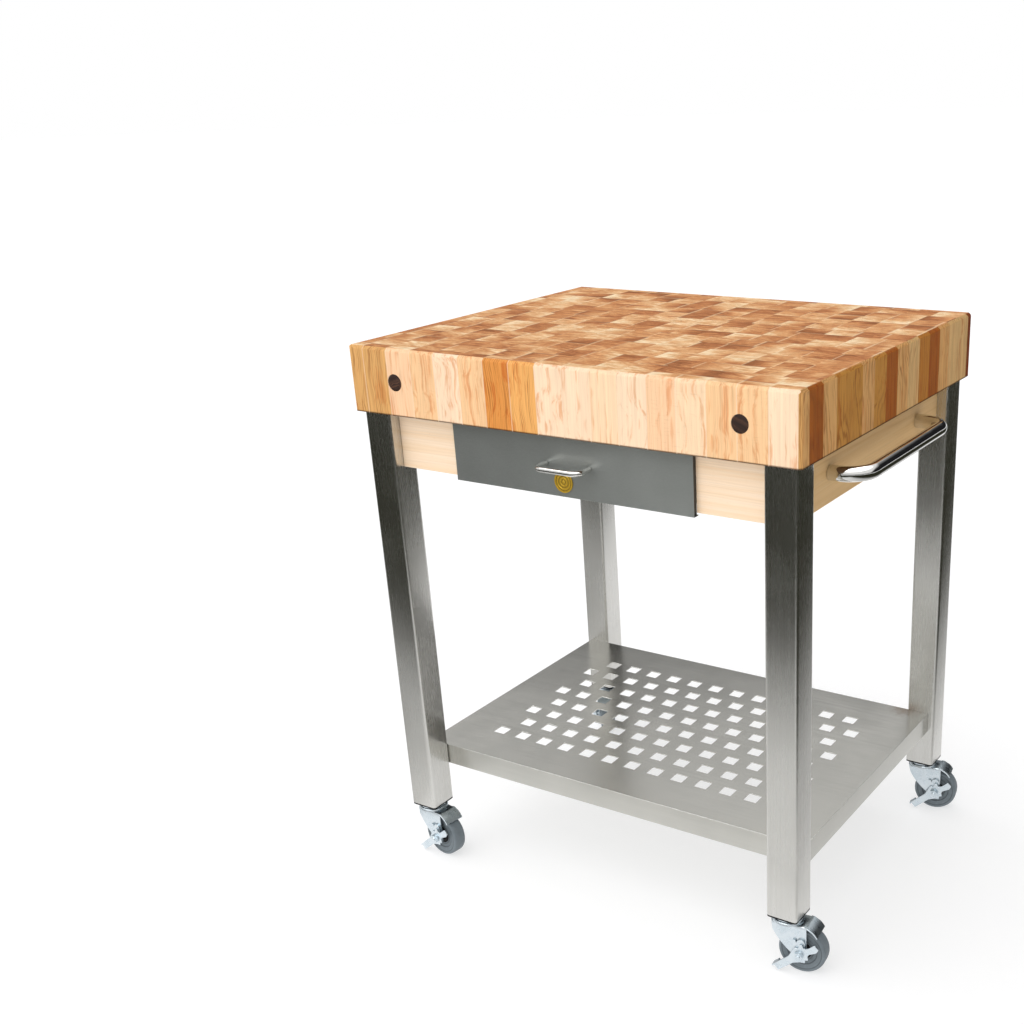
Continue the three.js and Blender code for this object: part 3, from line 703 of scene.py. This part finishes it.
def add_swept(bm, path, radius, sides, taper):
    """A round bar along a flat path, with small chamfered ends."""
    rings = []
    points = [Vector(p) for p in path]
    normal = (points[1] - points[0]).cross(points[-1] - points[0]).normalized()
    stations = [(points[0], radius - taper)] + [(p, radius) for p in points] + [(points[-1], radius - taper)]
    last = len(stations) - 1
    for index, (point, r) in enumerate(stations):
        at = min(max(index - 1, 0), len(points) - 1)
        ahead = points[min(at + 1, len(points) - 1)] - points[max(at - 1, 0)]
        forward = ahead.normalized()
        side = forward.cross(normal)
        shift = forward * taper * ((index == 1) - (index == last - 1))
        ring = []
        for i in range(sides):
            t = 2 * math.pi * i / sides
            ring.append(bm.verts.new(point + shift + side * (r * math.cos(t)) + normal * (r * math.sin(t))))
        rings.append(ring)
    for first, second in zip(rings, rings[1:]):
        bridge(bm, first, second)
    bm.faces.new(rings[0][::-1])
    bm.faces.new(rings[-1])


def bent_bar(length, reach, radius, bend, toward, sides, steps=12, taper=0.6):
    """A round bar out from one foot, round two bends and back. toward(along, out) puts it in space."""
    half = (length - 2 * radius) / 2
    path = [(-half, 0)]
    path += arc((-half + bend, reach - radius - bend), bend, 180, 90, steps)
    path += arc((half - bend, reach - radius - bend), bend, 90, 0, steps)
    path += [(half, 0)]
    bm = bmesh.new()
    add_swept(bm, [toward(a, b) for a, b in path], radius, sides, taper)
    return bm


def solid_sheet(bm, thickness):
    """Gives an open shell its sheet's thickness, on the inner side."""
    bmesh.ops.recalc_face_normals(bm, faces=bm.faces)
    bmesh.ops.solidify(bm, geom=bm.faces[:], thickness=thickness)


# -------- the cart's own pieces


def build_plugs(material):
    """Walnut plugs, each turned with a slightly domed face."""
    for end, out in (("front", -1), ("back", 1)):
        for side in ("left", "right"):
            node = f"plug_{end}_{side}"
            low, high = box_mm(node)
            radius = (high.x - low.x) / 2
            length = high.y - low.y
            centre = Vector(((low.x + high.x) / 2, low.y if out < 0 else high.y, (low.z + high.z) / 2))

            def toward(a, b, c, centre=centre, out=out):
                return (centre.x + a, centre.y - out * c, centre.z + b)

            bm = bmesh.new()
            dome = [(0, 0), (radius * 0.6, 0.06), (radius * 0.9, 0.22), (radius - 0.2, 0.5), (radius, 1.0)]
            add_turned(bm, dome + [(radius, length), (0, length)], sides=56, toward=toward)
            finish_piece(bm, f"walnut_{node}", material, "frame", "walnut", [node])


def build_leg(corner, material, screw_material):
    """A square tube with rounded corners, and the screwed plate at its top."""
    sx, sy = CORNERS[corner]
    node = f"leg_{corner}"
    low, high = box_mm(node)
    outer_x, inner_x = (high.x, low.x) if sx > 0 else (low.x, high.x)
    outer_y, inner_y = (high.y, low.y) if sy > 0 else (low.y, high.y)
    centre = (outer_x - sx * LEG_SIDE / 2, outer_y - sy * LEG_SIDE / 2)
    tube_top = high.z - 0.7
    plate_low = high.z - 3

    bm = bmesh.new()
    loops = []
    for side, radius in ((LEG_SIDE, LEG_CORNER), (LEG_SIDE - 2 * LEG_WALL, LEG_CORNER - LEG_WALL)):
        for z in (low.z, tube_top):
            loops.append([bm.verts.new((x, y, z)) for x, y in rounded_square(centre, side, radius)])
    outer_low, outer_high, inner_low, inner_high = loops
    around = (outer_low, outer_high, inner_high, inner_low, outer_low)
    for first, second in zip(around, around[1:]):
        bridge(bm, first, second)
    # The plate starts halfway into the tube's two inner walls.
    start_x = outer_x - sx * (LEG_SIDE - LEG_WALL / 2)
    start_y = outer_y - sy * (LEG_SIDE - LEG_WALL / 2)
    plate = rounded(rectangle(start_x, start_y, inner_x, inner_y), [0.5, 5, 5, 5])
    add_plate(bm, plate, plate_low, high.z, in_xy)
    finish_piece(bm, f"tube_{node}", material, "frame", "brushed_stainless", [node], bevel=0.35)

    for number, (dx, dy) in enumerate(((14, 14), (14, 40), (40, 14)), 1):
        x = outer_x - sx * (LEG_SIDE + dx)
        y = outer_y - sy * (LEG_SIDE + dy)
        bm = bmesh.new()
        head = [(1.0, -3.0), (1.6, -4.4), (3.4, -4.9), (4.8, -4.0), (5.2, -3.05), (0.9, -3.05)]
        add_turned(bm, [(r, high.z + h) for r, h in head], sides=20)
        name = f"plate_screw_{corner}_{number}"
        place = Matrix.Translation((x * MM, y * MM, 0))
        finish_piece(bm, name, screw_material, "frame", "zinc", matrix=place)


def build_shelf(material):
    """A sheet pan: a perforated top whose four edges are bent down."""
    low, high = box_mm("shelf")
    middle = (low + high) / 2

    def lines(cells, start, end, centre):
        first = centre - cells * SHELF_CELL / 2
        return [start] + [first + i * SHELF_CELL for i in range(cells + 1)] + [end]

    xs = lines(SHELF_COLUMNS, low.x, high.x, middle.x)
    ys = lines(SHELF_ROWS, low.y, high.y, middle.y)
    bm = bmesh.new()
    grid = [[bm.verts.new((x, y, high.z)) for y in ys] for x in xs]

    def is_hole(i, j):
        """Every second row has holes, and each of those starts one cell to the side of the last."""
        inside = 1 <= i <= SHELF_COLUMNS and 1 <= j <= SHELF_ROWS
        return inside and j % 2 == 1 and (i - (j - 1) // 2) % 2 == 1

    for i in range(len(xs) - 1):
        for j in range(len(ys) - 1):
            if not is_hole(i, j):
                bm.faces.new((grid[i][j], grid[i + 1][j], grid[i + 1][j + 1], grid[i][j + 1]))
    rim = [column[0] for column in grid] + grid[-1][1:]
    rim += [column[-1] for column in grid[-2::-1]] + grid[0][-2:0:-1]
    bridge(bm, rim, [bm.verts.new((v.co.x, v.co.y, low.z)) for v in rim])
    bend_edges(bm, radius=3.2, steps=5)
    solid_sheet(bm, SHEET)
    finish_piece(bm, "perforated_shelf", material, "frame", "brushed_stainless", ["shelf"], bevel=0.2)


def bend_edges(bm, radius, steps=4):
    """Rounds the sharp folds of an open shell."""
    folds = [e for e in bm.edges if len(e.link_faces) == 2 and e.calc_face_angle(0) > math.radians(60)]
    bmesh.ops.bevel(
        bm, geom=folds, offset=radius, segments=steps, profile=0.5, affect="EDGES", clamp_overlap=True
    )


def build_drawer_front(material):
    """A flat pan with its four edges folded back, and the lower one carried on under the apron."""
    low, high = box_mm("drawer_front")
    apron_low, _ = box_mm("apron_front_left")
    side_back = apron_low.y - 0.3
    bm = bmesh.new()
    corners = rectangle(low.x, low.z, high.x, high.z)
    front = [bm.verts.new((x, low.y, z)) for x, z in corners]
    back = [bm.verts.new((x, side_back, z)) for x, z in corners]
    bm.faces.new(front)
    bridge(bm, front, back)
    lip = [bm.verts.new((x, high.y, z)) for x, z in corners[:2]]
    bm.faces.new((back[0], back[1], lip[1], lip[0]))
    bend_edges(bm, radius=1.9)
    solid_sheet(bm, THIN_SHEET)
    finish_piece(bm, "folded_drawer_front", material, "drawer", "sheet_steel", ["drawer_front"], bevel=0.2)


def build_drawer_box(material):
    """An open tray of thin sheet."""
    low, high = box_mm("drawer_box")
    bm = bmesh.new()
    corners = rectangle(low.x, low.y, high.x, high.y)
    floor = [bm.verts.new((x, y, low.z)) for x, y in corners]
    rim = [bm.verts.new((x, y, high.z)) for x, y in corners]
    bm.faces.new(floor)
    bridge(bm, floor, rim)
    bend_edges(bm, radius=2.4)
    solid_sheet(bm, THIN_SHEET)
    finish_piece(bm, "drawer_tray", material, "drawer", "sheet_steel", ["drawer_box"], bevel=0.25)


def build_pull(material):
    """A bent round bar across the drawer's front."""
    low, high = box_mm("drawer_pull")
    centre_x = (low.x + high.x) / 2
    centre_z = (low.z + high.z) / 2

    def toward(along, out):
        return (centre_x + along, high.y - out, centre_z)

    bm = bent_bar(high.x - low.x, high.y - low.y, PULL_RADIUS, PULL_BEND, toward, sides=32)
    finish_piece(bm, "bar_pull", material, "drawer", "polished_steel", ["drawer_pull"])


def build_towel_bar(material):
    """A large bent tube on the right-hand apron."""
    low, high = box_mm("towel_bar")
    centre_y = (low.y + high.y) / 2
    centre_z = (low.z + high.z) / 2
    length = high.y - low.y
    reach = high.x - low.x

    def toward(along, out):
        return (low.x + out, centre_y + along, centre_z)

    bm = bent_bar(length, reach, BAR_RADIUS, BAR_BEND, toward, sides=48, steps=20, taper=0.3)
    finish_piece(bm, "bent_towel_bar", material, "frame", "polished_steel", ["towel_bar"])


def build_badge(material):
    """A stamped disc with a rim, an inner ring and a small boss, and nothing written on it."""
    low, high = box_mm("drawer_badge")
    radius = (high.x - low.x) / 2
    centre = (low + high) / 2
    thick = high.y - low.y

    def toward(a, b, c):
        return (centre.x + a, high.y - c, centre.z + b)

    # Radius and height of each ridge and hollow, from the rim inwards.
    hollow = thick - 0.8
    ridge = thick - 0.15
    relief = [(radius, 0), (radius, thick - 0.3), (radius - 0.3, thick), (radius - 1.9, thick)]
    for outer, inner in ((radius - 4.6, radius - 6.0), (radius - 9.5, radius - 11.0)):
        relief += [(outer + 2.2, hollow), (outer + 0.6, hollow)]
        relief += [(outer, ridge), (inner, ridge), (inner - 0.6, hollow)]
    relief += [(2.6, hollow), (2.0, thick - 0.2), (0, thick)]
    bm = bmesh.new()
    add_turned(bm, [(0, 0)] + relief, sides=64, toward=toward)
    finish_piece(bm, "plain_badge", material, "drawer", "brass", ["drawer_badge"], smooth=24)


# -------- casters

AXLE_Z = 37.5
TRAIL = 25  # from the stem's axis back to the axle
FORK_HALF = 17.5  # from the fork's middle to the outside of its cheek
FORK_SHEET = 2.5
FORK_TOP = 84
CROWN = 26  # the radius of the fork's round top
BRAKE_INNER = 21  # from the fork's middle to the near face of the brake
BRAKE_SHEET = 2.5


def caster_frame(corner):
    """From a caster's own frame, trailing along +X about its stem, to the row frame."""
    stem = Vector(find_joint(f"swivel_{corner}")["pos_m"])
    trail = Vector(find_joint(f"roll_{corner}")["pos_m"]) - stem
    turn = Matrix.Rotation(math.atan2(trail.y, trail.x), 4, "Z")
    return Matrix.Translation((stem.x, stem.y, 0)) @ turn


def about_axle(a, b, c):
    """A solid turned about the axle: its axis is Y."""
    return (TRAIL + a, c, AXLE_Z + b)


def wheel_solid(half, sides):
    """A wheel's part from one half of its section: radius and distance from the middle, from the bore out."""
    bm = bmesh.new()
    add_turned(bm, [(r, -h) for r, h in half] + [(r, h) for r, h in reversed(half)], sides, about_axle)
    return bm


def tyre():
    """A rubber tyre with a rounded tread, a moulded step on each side and a dish down to the core."""
    half = [
        (15.3, 8.4), (19.5, 8.4), (22.6, 8.9), (23.6, 9.9), (24.6, 10.1), (28.5, 10.5), (31.5, 11.4),
        (33.6, 12.0), (35.2, 11.6), (36.5, 10.4), (37.2, 8.6), (37.5, 6.0), (37.5, 2.0),
    ]
    return wheel_solid(half, sides=96)


def core():
    """The moulded hub inside the tyre, with a raised boss round its bore."""
    half = [
        (4.3, 13.4), (8.4, 13.4), (9.2, 12.8), (9.8, 9.4), (11.0, 8.4), (13.6, 8.4), (14.6, 9.3), (15.0, 8.6),
    ]
    return wheel_solid(half, sides=64)


def fork_edge(x):
    """The height of the fork's lower edge at a place along its length."""
    eye = 11
    eye_start = TRAIL - 7.5
    if x >= eye_start:
        return AXLE_Z - math.sqrt(eye**2 - (x - TRAIL) ** 2)
    # A quadratic curve from the back of the crown to the eye, solved for this x.
    start, bend, end = Vector((-24, 80)), Vector((-13, 51)), Vector((eye_start, 29.5))
    a = start.x - 2 * bend.x + end.x
    b = 2 * (bend.x - start.x)
    t = max((-b + math.sqrt(max(b * b - 4 * a * (start.x - x), 0))) / (2 * a), 0)
    return start.y * (1 - t) ** 2 + bend.y * 2 * t * (1 - t) + end.y * t**2


def fork_shell():
    """The pressed yoke, a sheet: a flat crown, a rounded fold round its edge, and the sides below it."""
    fold = 3.0
    side_top = FORK_TOP - fold
    steps = 5
    round_start = math.degrees(math.asin(FORK_HALF / CROWN))
    # Stations along a side, closest where its lower edge curves most.
    stations = [34.5, 33.5, 31.5, 29, 26, 23, 20, 17.5, 14, 10, 6, 2, -2, -6, -10, -14]
    side = [(x, FORK_HALF) for x in stations]
    edge = side + arc((0, 0), CROWN, 180 - round_start, 180 + round_start, 16)
    edge += [(x, -y) for x, y in reversed(side)]
    points = [Vector(p) for p in edge]
    bm = bmesh.new()
    columns = []
    for index, point in enumerate(points):
        along = points[min(index + 1, len(points) - 1)] - points[max(index - 1, 0)]
        inward = Vector((-along.y, along.x)).normalized()
        column = []
        for step in range(steps + 1):
            t = math.radians(90 * (1 - step / steps))
            place = point + inward * fold * (1 - math.cos(t))
            column.append((place.x, place.y, FORK_TOP - fold * (1 - math.sin(t))))
        drop = side_top - min(fork_edge(point.x), side_top - 1)
        column += [(point.x, point.y, side_top - drop * k / steps) for k in range(1, steps + 1)]
        columns.append([bm.verts.new(place) for place in column])
    bm.faces.new([column[0] for column in columns])
    for first, second in zip(columns, columns[1:]):
        for i in range(len(first) - 1):
            bm.faces.new((first[i], first[i + 1], second[i + 1], second[i]))
    solid_sheet(bm, FORK_SHEET)
    return bm


def fork():
    """The yoke with its raised raceway, the fender behind it and the bracket that carries the brake."""
    bm = fork_shell()
    race = [(24.6, 83.5), (24.4, 85.2), (23.2, 87.2), (21.6, 88.1), (19.8, 88.1), (18.8, 87.2), (18.6, 83.5)]
    add_turned(bm, race, sides=72)
    upper = [Vector(p) for p in ((31, 84), (35.4, 83.7), (44.5, 78.6), (48, 75.2), (51.6, 70.0))]
    lower = [p + Vector((-1.2, -2.1)) for p in upper]
    outline = [tuple(p) for p in upper + lower[::-1]]
    add_plate(bm, outline, -FORK_HALF + 0.2, FORK_HALF - 0.2, in_xz)
    bracket = [(14, 45.5), (33, 45.5), (33, 57)]
    bracket += arc((26.5, 57), 6.5, 0, 180, 10)[1:]
    bracket += [(18, 61), (14, 61)]
    add_plate(bm, bracket, -BRAKE_INNER + 0.4, -FORK_HALF + 0.2, in_xz)
    return bm


def axle():
    """The axle bolt: a hexagon head with a button, a shank, and a nut with the thread's end past it."""
    head = -BRAKE_INNER - BRAKE_SHEET - 0.3
    nut = FORK_HALF + 0.3
    end = nut + 4.9
    tip = head - 7.4
    washer = 7.4
    hexagon = arc((TRAIL, AXLE_Z), 7.2, 15, 315, 5)
    bm = bmesh.new()

    def turned(radius, start, stop, sides):
        add_turned(bm, [(0, start), (radius, start), (radius, stop), (0, stop)], sides, about_axle)

    turned(washer, head - 1.0, head, sides=40)
    turned(4, head, nut, sides=24)
    turned(washer, nut, nut + 0.8, sides=40)
    add_plate(bm, hexagon, head - 5.4, head - 1.0, in_xz)
    add_plate(bm, hexagon, nut + 0.8, nut + 4.4, in_xz)
    button = [(0, tip), (3.1, tip), (3.8, tip + 0.6), (3.8, tip + 2.5), (0, tip + 2.5)]
    thread = [(0, nut + 4), (3.7, nut + 4), (3.7, end - 0.5), (3.1, end), (0, end)]
    for profile in (button, thread):
        add_turned(bm, profile, sides=24, toward=about_axle)
    return bm


def brake():
    """The stamped lever: a lobe behind the axle, an arm down to the pedal, and the pedal turned out."""
    angle = math.radians(220)
    out = Vector((math.cos(angle), math.sin(angle)))
    aside = Vector((-out.y, out.x))
    pivot = Vector((TRAIL, AXLE_Z))

    def on_arm(distance, offset):
        return tuple(pivot + out * distance + aside * offset)

    lobe = [(-7, 12.6), (-2, 11.5), (1, 19), (4.5, 19), (8, 13), (14, 15.5), (24, 24), (31, 17.5)]
    lobe += [(27, 11), (16, 5.5), (13.4, 1.5), (14.6, -5.4), (10, -6.2), (9.4, -11.4), (2, -11.8)]
    radii = [3, 1.6, 1.6, 1.6, 2.6, 3, 2.4, 3.4, 2.4, 3, 2, 1.6, 1.6, 1.6, 3]
    corners = [on_arm(48, -6), on_arm(16, -6.6)]
    corners += [(TRAIL + x, AXLE_Z + z) for x, z in lobe]
    corners += [on_arm(17, 6), on_arm(48, 6)]
    outline = rounded(corners, [1.5, 5] + radii + [4, 1.5], 4)
    bm = bmesh.new()
    back = -BRAKE_INNER - BRAKE_SHEET
    add_plate(bm, outline, back, -BRAKE_INNER, in_xz)
    pad = [on_arm(40, -6), on_arm(51.8, -6), on_arm(51.8, -3.6), on_arm(40, -3.6)]
    add_plate(bm, pad, back + 0.01, back + 10.9, in_xz)
    return bm


def stem(corner):
    """The stem with its cup over the raceway, and the rivet head under the yoke."""
    low, high = box_mm(f"caster_stem_{corner}")
    shank = 5.5
    rivet = [(0, 0), (6.6, 0), (7.9, 0.7), (8.5, 2.0), (8.5, 3.0), (shank, 3.0)]
    cup = [(shank, 88.5), (21.2, 88.5), (22, 89.4), (22, 90.8), (21.2, 91.9), (19.6, 92.4), (shank, 92.4)]
    end = [(shank, high.z - 1.5), (4, high.z), (0, high.z)]
    bm = bmesh.new()
    add_turned(bm, [(r, low.z + h) for r, h in rivet] + cup + end, sides=64)
    return bm


def build_socket(corner, material):
    """The nylon insert in the leg's end. Its flange has the tube's own rounded corners."""
    name = f"caster_socket_{corner}"
    low, high = box_mm(name)
    centre = (low + high) / 2
    flange_top = low.z + 1.3
    bm = bmesh.new()
    flange = rounded_square(centre, LEG_SIDE - 0.2, LEG_CORNER)
    add_plate(bm, flange, low.z - 0.9, flange_top, in_xy)
    body = rounded_square(centre, LEG_SIDE - 2 * LEG_WALL - 0.6, LEG_CORNER - LEG_WALL)
    add_plate(bm, body, flange_top, high.z, in_xy)
    finish_piece(bm, f"nylon_{name}", material, "frame", "dark_plastic", [name], bevel=0.25)


def build_caster(corner, bright, plastic):
    """All of one caster, from the leg's insert to the wheel."""
    build_socket(corner, plastic)
    matrix = caster_frame(corner)
    stamped = zinc(f"stamped_zinc_{corner}", find_joint(f"roll_{corner}")["axis"])
    rubber = tyre_rubber(corner)
    swivel = f"fork_{corner}"
    wheel = f"wheel_{corner}"
    for prefix, node, bm, material, body, slot, bevel in (
        ("turned", "caster_stem", stem(corner), bright, "frame", "zinc", 0),
        ("pressed", "caster_fork", fork(), stamped, swivel, "zinc", 0.3),
        ("bolt", "caster_axle", axle(), bright, swivel, "zinc", 0.45),
        ("stamped", "caster_brake", brake(), stamped, f"brake_{corner}", "zinc", 0.35),
        ("rubber", "wheel_tyre", tyre(), rubber, wheel, "grey_rubber", 0),
        ("nylon", "wheel_core", core(), plastic, wheel, "dark_plastic", 0),
    ):
        name = f"{node}_{corner}"
        finish_piece(bm, f"{prefix}_{name}", material, body, slot, [name], matrix, bevel)


# -------- studio


def make_camera():
    """The photograph's viewpoint, found by fitting the cart's straight edges."""
    camera = bpy.data.cameras.new("camera")
    camera.sensor_width = 36
    camera.lens = 46.5
    camera.shift_x = -0.1786
    camera.shift_y = 0.0988
    holder = add_object("camera", camera)
    forward = Vector((-0.47989, 0.79083, -0.37987))
    right = Vector((0.86011, 0.50945, -0.02597))
    up = right.cross(forward)
    turn = Matrix((right, up, -forward)).transposed().to_4x4()
    holder.matrix_world = Matrix.Translation((1.07935, -1.74329, 1.25737)) @ turn
    bpy.context.scene.camera = holder


def add_card(name, corners, height, material):
    """A flat part of the studio, with one face."""
    mesh = bpy.data.meshes.new(name)
    places = [(x * MM, y * MM, height * MM) for x, y in corners]
    mesh.from_pydata(places, [], [tuple(range(len(places)))])
    mesh.materials.append(material)
    card = add_object(name, mesh)
    return card


def make_floor():
    """A wide round pale floor."""
    g = surface("studio_floor")
    x, y, _ = g.place()
    grain = g.patches((x, y), 30, detail=3.0)
    g.set(base_color=g.ramp(grain, ("b4b4b4", "b8b8b7")), roughness=0.9, specular_ior_level=0.0)
    g.set(emission_color=linear("ffffff"), emission_strength=0.6)
    add_card("studio_floor", arc((0, 0), 40000, 0, 360, 96)[:-1], 0, g.material)


def flag_paint():
    """Pale near the cart and dark further off, soonest to its right and least to its left."""
    g = surface("flag")
    x, y, _ = g.place()
    ahead = (x * -0.35 - y).between(700.0, 1650.0)
    aside = (x + y * 0.2).between(480.0, 1240.0)
    left = (x * -1).between(300.0, 900.0) * 0.45
    shade = g.math("MAXIMUM", g.math("MAXIMUM", ahead, aside), left)
    return g.set(base_color=g.mix(shade, "f0f0ee", "2f2f24"), roughness=1.0, specular_ior_level=0.0)


def make_flag(name, corners, paint):
    """A card on the floor that only reflections see."""
    card = add_card(name, corners, 2, paint)
    for ray in ("camera", "diffuse", "shadow", "transmission"):
        setattr(card, f"visible_{ray}", False)


def make_sun():
    """A large soft light far away: it lights the whole floor evenly."""
    data = bpy.data.lights.new("key", "SUN")
    data.energy = 2.3
    data.angle = math.radians(110)
    lamp = add_object("key", data)
    toward = Vector((0.42, 0.75, -0.95))
    lamp.matrix_world = (-toward).to_track_quat("Z", "Y").to_matrix().to_4x4()
    lamp.visible_glossy = False


def make_world():
    """A pale room. Reflections see it dark low down, most of all beyond the cart, and brightest overhead."""
    world = bpy.data.worlds.new("studio")
    world.use_nodes = True
    g = Graph(world.node_tree)
    across, ahead, height = g.split(g.add("ShaderNodeTexCoord").outputs["Generated"])
    path = g.add("ShaderNodeLightPath")

    def background(colour, strength=1.0):
        return g.add("ShaderNodeBackground", colour, strength).outputs[0]

    def choose(when, otherwise, then):
        return g.add("ShaderNodeMixShader", path.outputs[when], otherwise, then).outputs[0]

    far_left = (ahead * 0.83 - across * 0.5).between(0.35, 1.1)
    far_right = (ahead + across * 0.5).between(0.6, 0.95)
    far_side = g.math("MAXIMUM", far_left, far_right)
    raised = (height + 0.4 - far_side * 0.4).between(0.36, 0.7)
    mirrored = background(g.mix(raised, "202022", "ffffff"), height.between(0.66, 0.82) * 2.6 + 1)
    lit = background(g.mix(across.between(-0.8, 0.8), "dcdde0", "8c8c90"))
    room = choose("Is Glossy Ray", lit, mirrored)
    seen = choose("Is Camera Ray", room, background(linear("ffffff")))
    g.add("ShaderNodeOutputWorld", seen)
    bpy.context.scene.world = world


def make_studio():
    make_camera()
    make_floor()
    make_world()
    make_sun()
    wide = 9000
    beside = 480
    before = -500
    paint = flag_paint()
    make_flag("flag_front", rectangle(-wide, -wide, wide, before), paint)
    make_flag("flag_right", rectangle(beside, before, wide, wide), paint)
    make_flag("flag_left", rectangle(-beside, before, -wide, wide), paint)
    bpy.context.scene.view_settings.view_transform = "Standard"


# -------- the whole cart


def build_cart():
    bright = zinc()
    plastic = dark_plastic()
    # The side boards' golden tones are darker than the front boards' pale ones: the yellower tone is the
    # wood's own, the extra darkness is painted shade.
    pale = ("fbe6cf", "f9dfc2", "f4d5b0", "deb17e")
    golden_with_painted_shade = ("efcd97", "e6c088", "deb57b", "c08f55")
    board_x = board_wood("maple_along_x", length_axis=0, tones=pale, pitch=3.4)
    board_y = board_wood("maple_along_y", length_axis=1, tones=golden_with_painted_shade, pitch=3.4)
    keep_nodes("butcher_block", end_grain(), bevel=0.8)
    keep_nodes(("apron_front", "apron_back"), board_x, bevel=0.8)
    keep_nodes(("apron_left", "apron_right", "drawer_support"), board_y, bevel=0.8)
    build_plugs(walnut())
    tones = ("c4c3be", "d0cfcb", "d9d8d5")
    tube = brushed_steel("brushed_steel_legs", tones, brush_axis=2, roughness=0.26)
    for corner in CORNERS:
        build_leg(corner, tube, bright)
        build_caster(corner, bright, plastic)
    tones = ("b4b3ad", "c2c1bb", "cecdc7")
    build_shelf(brushed_steel("brushed_steel_shelf", tones, brush_axis=0, roughness=0.21, marks=shelf_highlight_and_stain))
    sheet = sheet_steel()
    build_drawer_front(sheet)
    build_drawer_box(sheet)
    polished = polished_steel()
    build_pull(polished)
    build_towel_bar(polished)
    build_badge(brass())
    keep_nodes(("tie_rod", "pull_screw", "towel_bar_screw", "runner"), bright, bevel=0.2)


build_cart()
make_studio()
